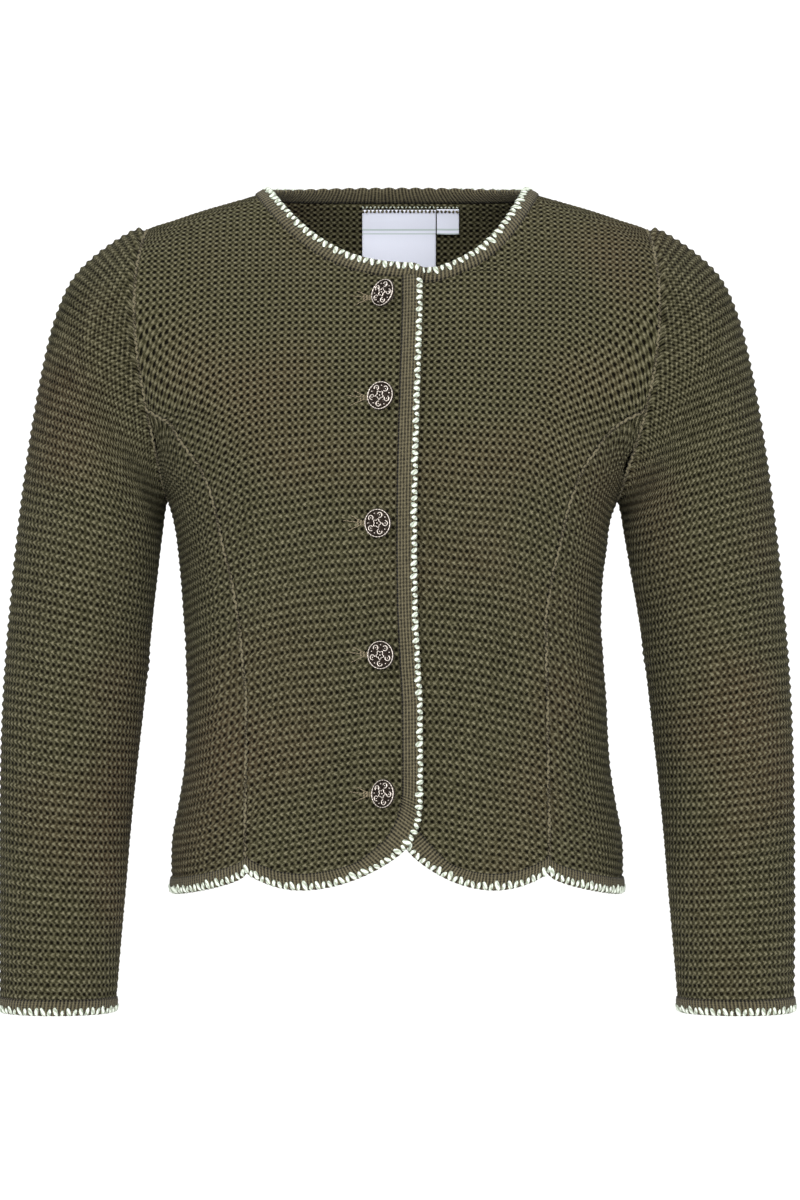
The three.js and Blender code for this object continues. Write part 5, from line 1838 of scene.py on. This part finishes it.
    def build(self, material: Material, yarn: Material) -> None:
        """Builds each button as one closed mesh, with its buttonhole.

        Args:
            material: the silver.
            yarn: material of the buttonholes.
        """
        radii = np.concatenate([np.linspace(0.02, 0.97, self.face_rings), [0.985, 1.0]]) * self.radius
        angle = np.linspace(0, TURN, self.around, endpoint=False)
        for number, (z, turned, spin) in enumerate(zip(self.heights, self.turned, self.spins), 1):
            middle, right, up, normal = self.spot(z, turned)
            ring, around = np.meshgrid(radii, angle, indexing="ij")
            height, ornament = self.relief(ring, around + spin)
            draft = MeshDraft()
            face = self.place(middle, right, up, normal, ring, around, height)
            first = draft.add(face, np.stack([around, ornament], axis=-1))
            draft.quads(first, len(radii), len(angle), True, False)
            draft.cap(first, len(angle), False)
            shank = -self.radius * (1 - self.shank) * math.tan(math.radians(turned))
            under_radii = np.array([*self.under_shares, self.shank + 0.04, self.shank]) * self.radius
            under_heights = np.array([*self.under_heights, shank])
            ring, around = np.meshgrid(under_radii, angle, indexing="ij")
            under = self.place(middle, right, up, normal, ring, around, under_heights[:, None])
            second = draft.add(under, np.array([0.0, self.hollow]))
            draft.quads(second, len(under_radii), len(angle), True, False)
            join = first + (len(radii) - 1) * len(angle)
            for at in range(len(angle)):
                after = (at + 1) % len(angle)
                draft.faces.append([join + at, second + at, second + after, join + after])
            base = second + (len(under_radii) - 1) * len(angle)
            draft.cap(base, len(angle), True)
            piece = draft.make(f"button_{number}_silver", material, Slot.SILVER, None)
            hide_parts(f"button_{number}")
            self.buttonhole(number, z, yarn)
            LOG.info("%s at height %.1f", piece.name, z)

    @staticmethod
    def place(middle: Array, right: Array, up: Array, normal: Array, ring: Array, around: Array,
              height: Array) -> Array:
        """Puts rings of points round a button's middle.

        Args:
            middle: middle of the button.
            right: its way to the right.
            up: its way up.
            normal: its way out.
            ring: distances from the middle.
            around: angles round it.
            height: heights over the cloth.

        Returns:
            The points.
        """
        height = np.broadcast_to(height, ring.shape)
        return (middle + right * (ring * np.cos(around))[..., None] + up * (ring * np.sin(around))[..., None]
                + normal * height[..., None])


@dataclass
class Labels:
    """The plain woven neck label and the small tab beside it."""

    body: Body
    thickness: float = 0.7
    clearance: float = 0.1
    curl: float = 0.35
    grid: tuple[int, int] = (37, 41)
    row_ends: tuple[float, float] = (-19.5, 33.5)
    kinds: tuple[tuple[str, float, float, float, float, float, float, tuple[float, float]], ...] = (
        ("label_main", -18.7, 20.9, -5.0, -41.0, 0.4, 1.6, (0.0396, 0.036)),
        ("label_size", 21.5, 33.4, -4.6, -17.2, 0.4, 0.8, (0.0119, 0.0126)))
    pins: Chain = Chain(2.1, 0.55, 0.55, 0.4, 0.5)
    loops: Chain = Chain(2.1, 0.75, 1.0, 0.5, 0.3)

    def build(self, material: Material, thread: Material,
              loops: Material) -> None:
        """Builds both labels, hanging inside the back from the neck seam.

        Args:
            material: its material.
            thread: material of the pins.
            loops: material of the loops.
        """
        for node, start, stop, top, bottom, lift, lean, flat in self.kinds:
            z = np.linspace(top, bottom, self.grid[0])[:, None]
            x = np.linspace(start, stop, self.grid[1])[None, :]
            down = (z - top) / (bottom - top)
            point, normal = self.body.cloth_at(*np.broadcast_arrays(x, z), True)
            curl = self.curl * np.sin((x - start) / (stop - start) * math.pi) * down
            away = self.body.wall + lift + lean * down**2 + self.clearance + curl
            face = point - normal * (away + self.thickness)[..., None]
            back = point - normal * away[..., None]
            knit = np.stack(np.broadcast_arrays(x - start, top - z), axis=-1)
            draft = MeshDraft()
            first = draft.add(face, knit)
            draft.quads(first, *self.grid, False, False)
            second = draft.add(back, knit)
            draft.quads(second, *self.grid, False, True)
            self.rim(draft, first, second, *self.grid)
            piece = draft.make(f"{node}_woven", material, Slot.LABEL, None)
            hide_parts(node)
            LOG.info("%s: %.0f by %.0f mm", piece.name, flat[0] * 1000, flat[1] * 1000)
        self.row("label_pins", -3.6, self.pins, 1.1, thread, Slot.LABEL)
        self.row("label_loops", -5.4, self.loops, 1.7, loops, Slot.KNIT)

    def row(self, name: str, height: float, chain: "Chain", away: float, material: Material,
            slot: Slot) -> None:
        """Builds a row of small stitches that holds the labels under the neck band.

        Args:
            name: name that it gets.
            height: height of the row.
            chain: the kind of stitch.
            away: distance from the wall.
            material: its material.
            slot: its material slot.
        """
        draft = MeshDraft()
        x = np.linspace(*self.row_ends, 120)
        point, normal = self.body.cloth_at(x, np.full(120, height), True)
        chain.lay(draft, point - normal * (self.body.wall + away), -normal)
        draft.make(name, material, slot, None)

    @staticmethod
    def rim(draft: MeshDraft, first: int, second: int, rows: int, columns: int) -> None:
        """Closes the edge between a label's two faces.

        Args:
            draft: mesh to add to.
            first: number of the first point.
            second: number of the other face's first point.
            rows: count of rows.
            columns: count of columns.
        """
        loop = list(range(columns))
        loop += [row * columns + columns - 1 for row in range(1, rows)]
        loop += [(rows - 1) * columns + column for column in range(columns - 2, -1, -1)]
        loop += [row * columns for row in range(rows - 2, 0, -1)]
        for here, after in zip(loop, loop[1:] + loop[:1]):
            draft.faces.append([first + here, first + after, second + after, second + here])


@dataclass
class Studio:
    """The camera, the soft lights and the pale floor."""

    distance: float = 2.5
    centre: tuple[float, float] = (0.0016, -0.215)
    frame_height: float = 0.63
    sensor: float = 36.0
    floor: float = -0.62
    floor_front: float = -4.5
    floor_back: float = 2.2
    floor_bend: float = 1.2
    wall_top: float = 4.5
    floor_half: float = 6.0
    world: float = 0.8
    lights: tuple[tuple[str, tuple[float, float, float], float, float], ...] = (
        ("key", (-0.9, -2.4, 1.1), 1.4, 58), ("fill", (1.3, -2.4, 0.3), 1.6, 34),
        ("front", (0.0, -2.8, 0.1), 1.0, 24), ("top", (0.0, 0.4, 2.2), 1.6, 30))

    def camera(self) -> None:
        """Places the camera in front, level with the garment's middle."""
        data = bpy.data.cameras.new("camera")
        data.sensor_width = self.sensor
        data.lens = self.sensor * self.distance / self.frame_height
        data.clip_end = 30
        made = bpy.data.objects.new("camera", data)
        made.location = (self.centre[0], -self.distance, self.centre[1])
        made.rotation_euler = (math.pi / 2, 0, 0)
        bpy.context.scene.collection.objects.link(made)
        bpy.context.scene.camera = made

    def light(self, name: str, place: tuple[float, float, float], size: float, power: float) -> None:
        """Adds a soft area light aimed at the garment.

        Args:
            name: name that it gets.
            place: where it stands, in metres.
            size: its width, in metres.
            power: its power, in watts.
        """
        data = bpy.data.lights.new(name, "AREA")
        data.size, data.energy = size, power
        made = bpy.data.objects.new(name, data)
        made.location = place
        aim = np.array([0, 0, self.centre[1]]) - np.array(place)
        tip = math.pi - math.acos(aim[2] / np.linalg.norm(aim))
        made.rotation_euler = (tip, 0, math.atan2(aim[1], aim[0]) - math.pi / 2)
        bpy.context.scene.collection.objects.link(made)

    def backdrop(self) -> None:
        """Makes the pale floor, which sweeps up behind the garment."""
        back, bend = self.floor_back, self.floor_bend
        profile = [(self.floor_front, self.floor), (back, self.floor)]
        profile += [(back + bend * math.sin(a), self.floor + bend * (1 - math.cos(a)))
                    for a in np.linspace(0, math.pi / 2, 16)[1:]]
        profile += [(back + bend, self.wall_top)]
        points = [(x, y, z) for y, z in profile for x in (-self.floor_half, self.floor_half)]
        faces = [(2 * i, 2 * i + 1, 2 * i + 3, 2 * i + 2) for i in range(len(profile) - 1)]
        mesh = bpy.data.meshes.new("floor")
        mesh.from_pydata(points, [], faces)
        nodes = MaterialNodes("pale_floor")
        nodes.set(Base_Color=(0.93, 0.93, 0.93, 1), Roughness=0.9)
        mesh.materials.append(nodes.material)
        made = bpy.data.objects.new("floor", mesh)
        bpy.context.scene.collection.objects.link(made)

    def build(self) -> None:
        """Sets up the whole studio."""
        self.camera()
        self.backdrop()
        for name, place, size, power in self.lights:
            self.light(name, place, size, power)
        world = bpy.data.worlds.new("studio")
        world.use_nodes = True
        sky = world.node_tree.nodes["Background"]
        sky.inputs["Color"].default_value = (1, 1, 1, 1)
        sky.inputs["Strength"].default_value = self.world
        bpy.context.scene.world = world
        bpy.context.scene.view_settings.view_transform = "Standard"


def main() -> None:
    """Builds the cardigan piece by piece."""
    logging.basicConfig(level=logging.INFO, format="%(name)s: %(message)s")
    body, form, shell = Body(), SleeveForm(), KnitShell()
    knit = KnitFinish().build()
    # The rib yarn's last value, 0.4, is the strength of the painted shade along the band's seam.
    rib = YarnFinish("rib_yarn", rgb(90, 84, 64), rgb(9, 7, 3), (1.9, 1.3), 0.0011, 0.4).build()
    seam = YarnFinish("seam_yarn", rgb(97, 91, 71), rgb(16, 12, 6), (1.1, 1.6), 0.0003).build()
    lips = YarnFinish("buttonhole_yarn", rgb(118, 108, 86), rgb(36, 30, 20), (1.1, 1.6), 0.0003).build()
    cream = YarnFinish("cream_yarn", rgb(206, 213, 201), rgb(118, 126, 108), (0.45, 2.0), 0.0002).build()
    Studio().build()
    Fronts(body, shell).build(knit)
    Sleeves(form, body, shell).build(knit)
    Bands(body, form).build(rib, cream)
    Seams(body, form).build(seam)
    Buttons(body).build(SilverFinish().build(), lips)
    Labels(body).build(LabelFinish().build(), cream, seam)


if __name__ == "__main__":
    main()
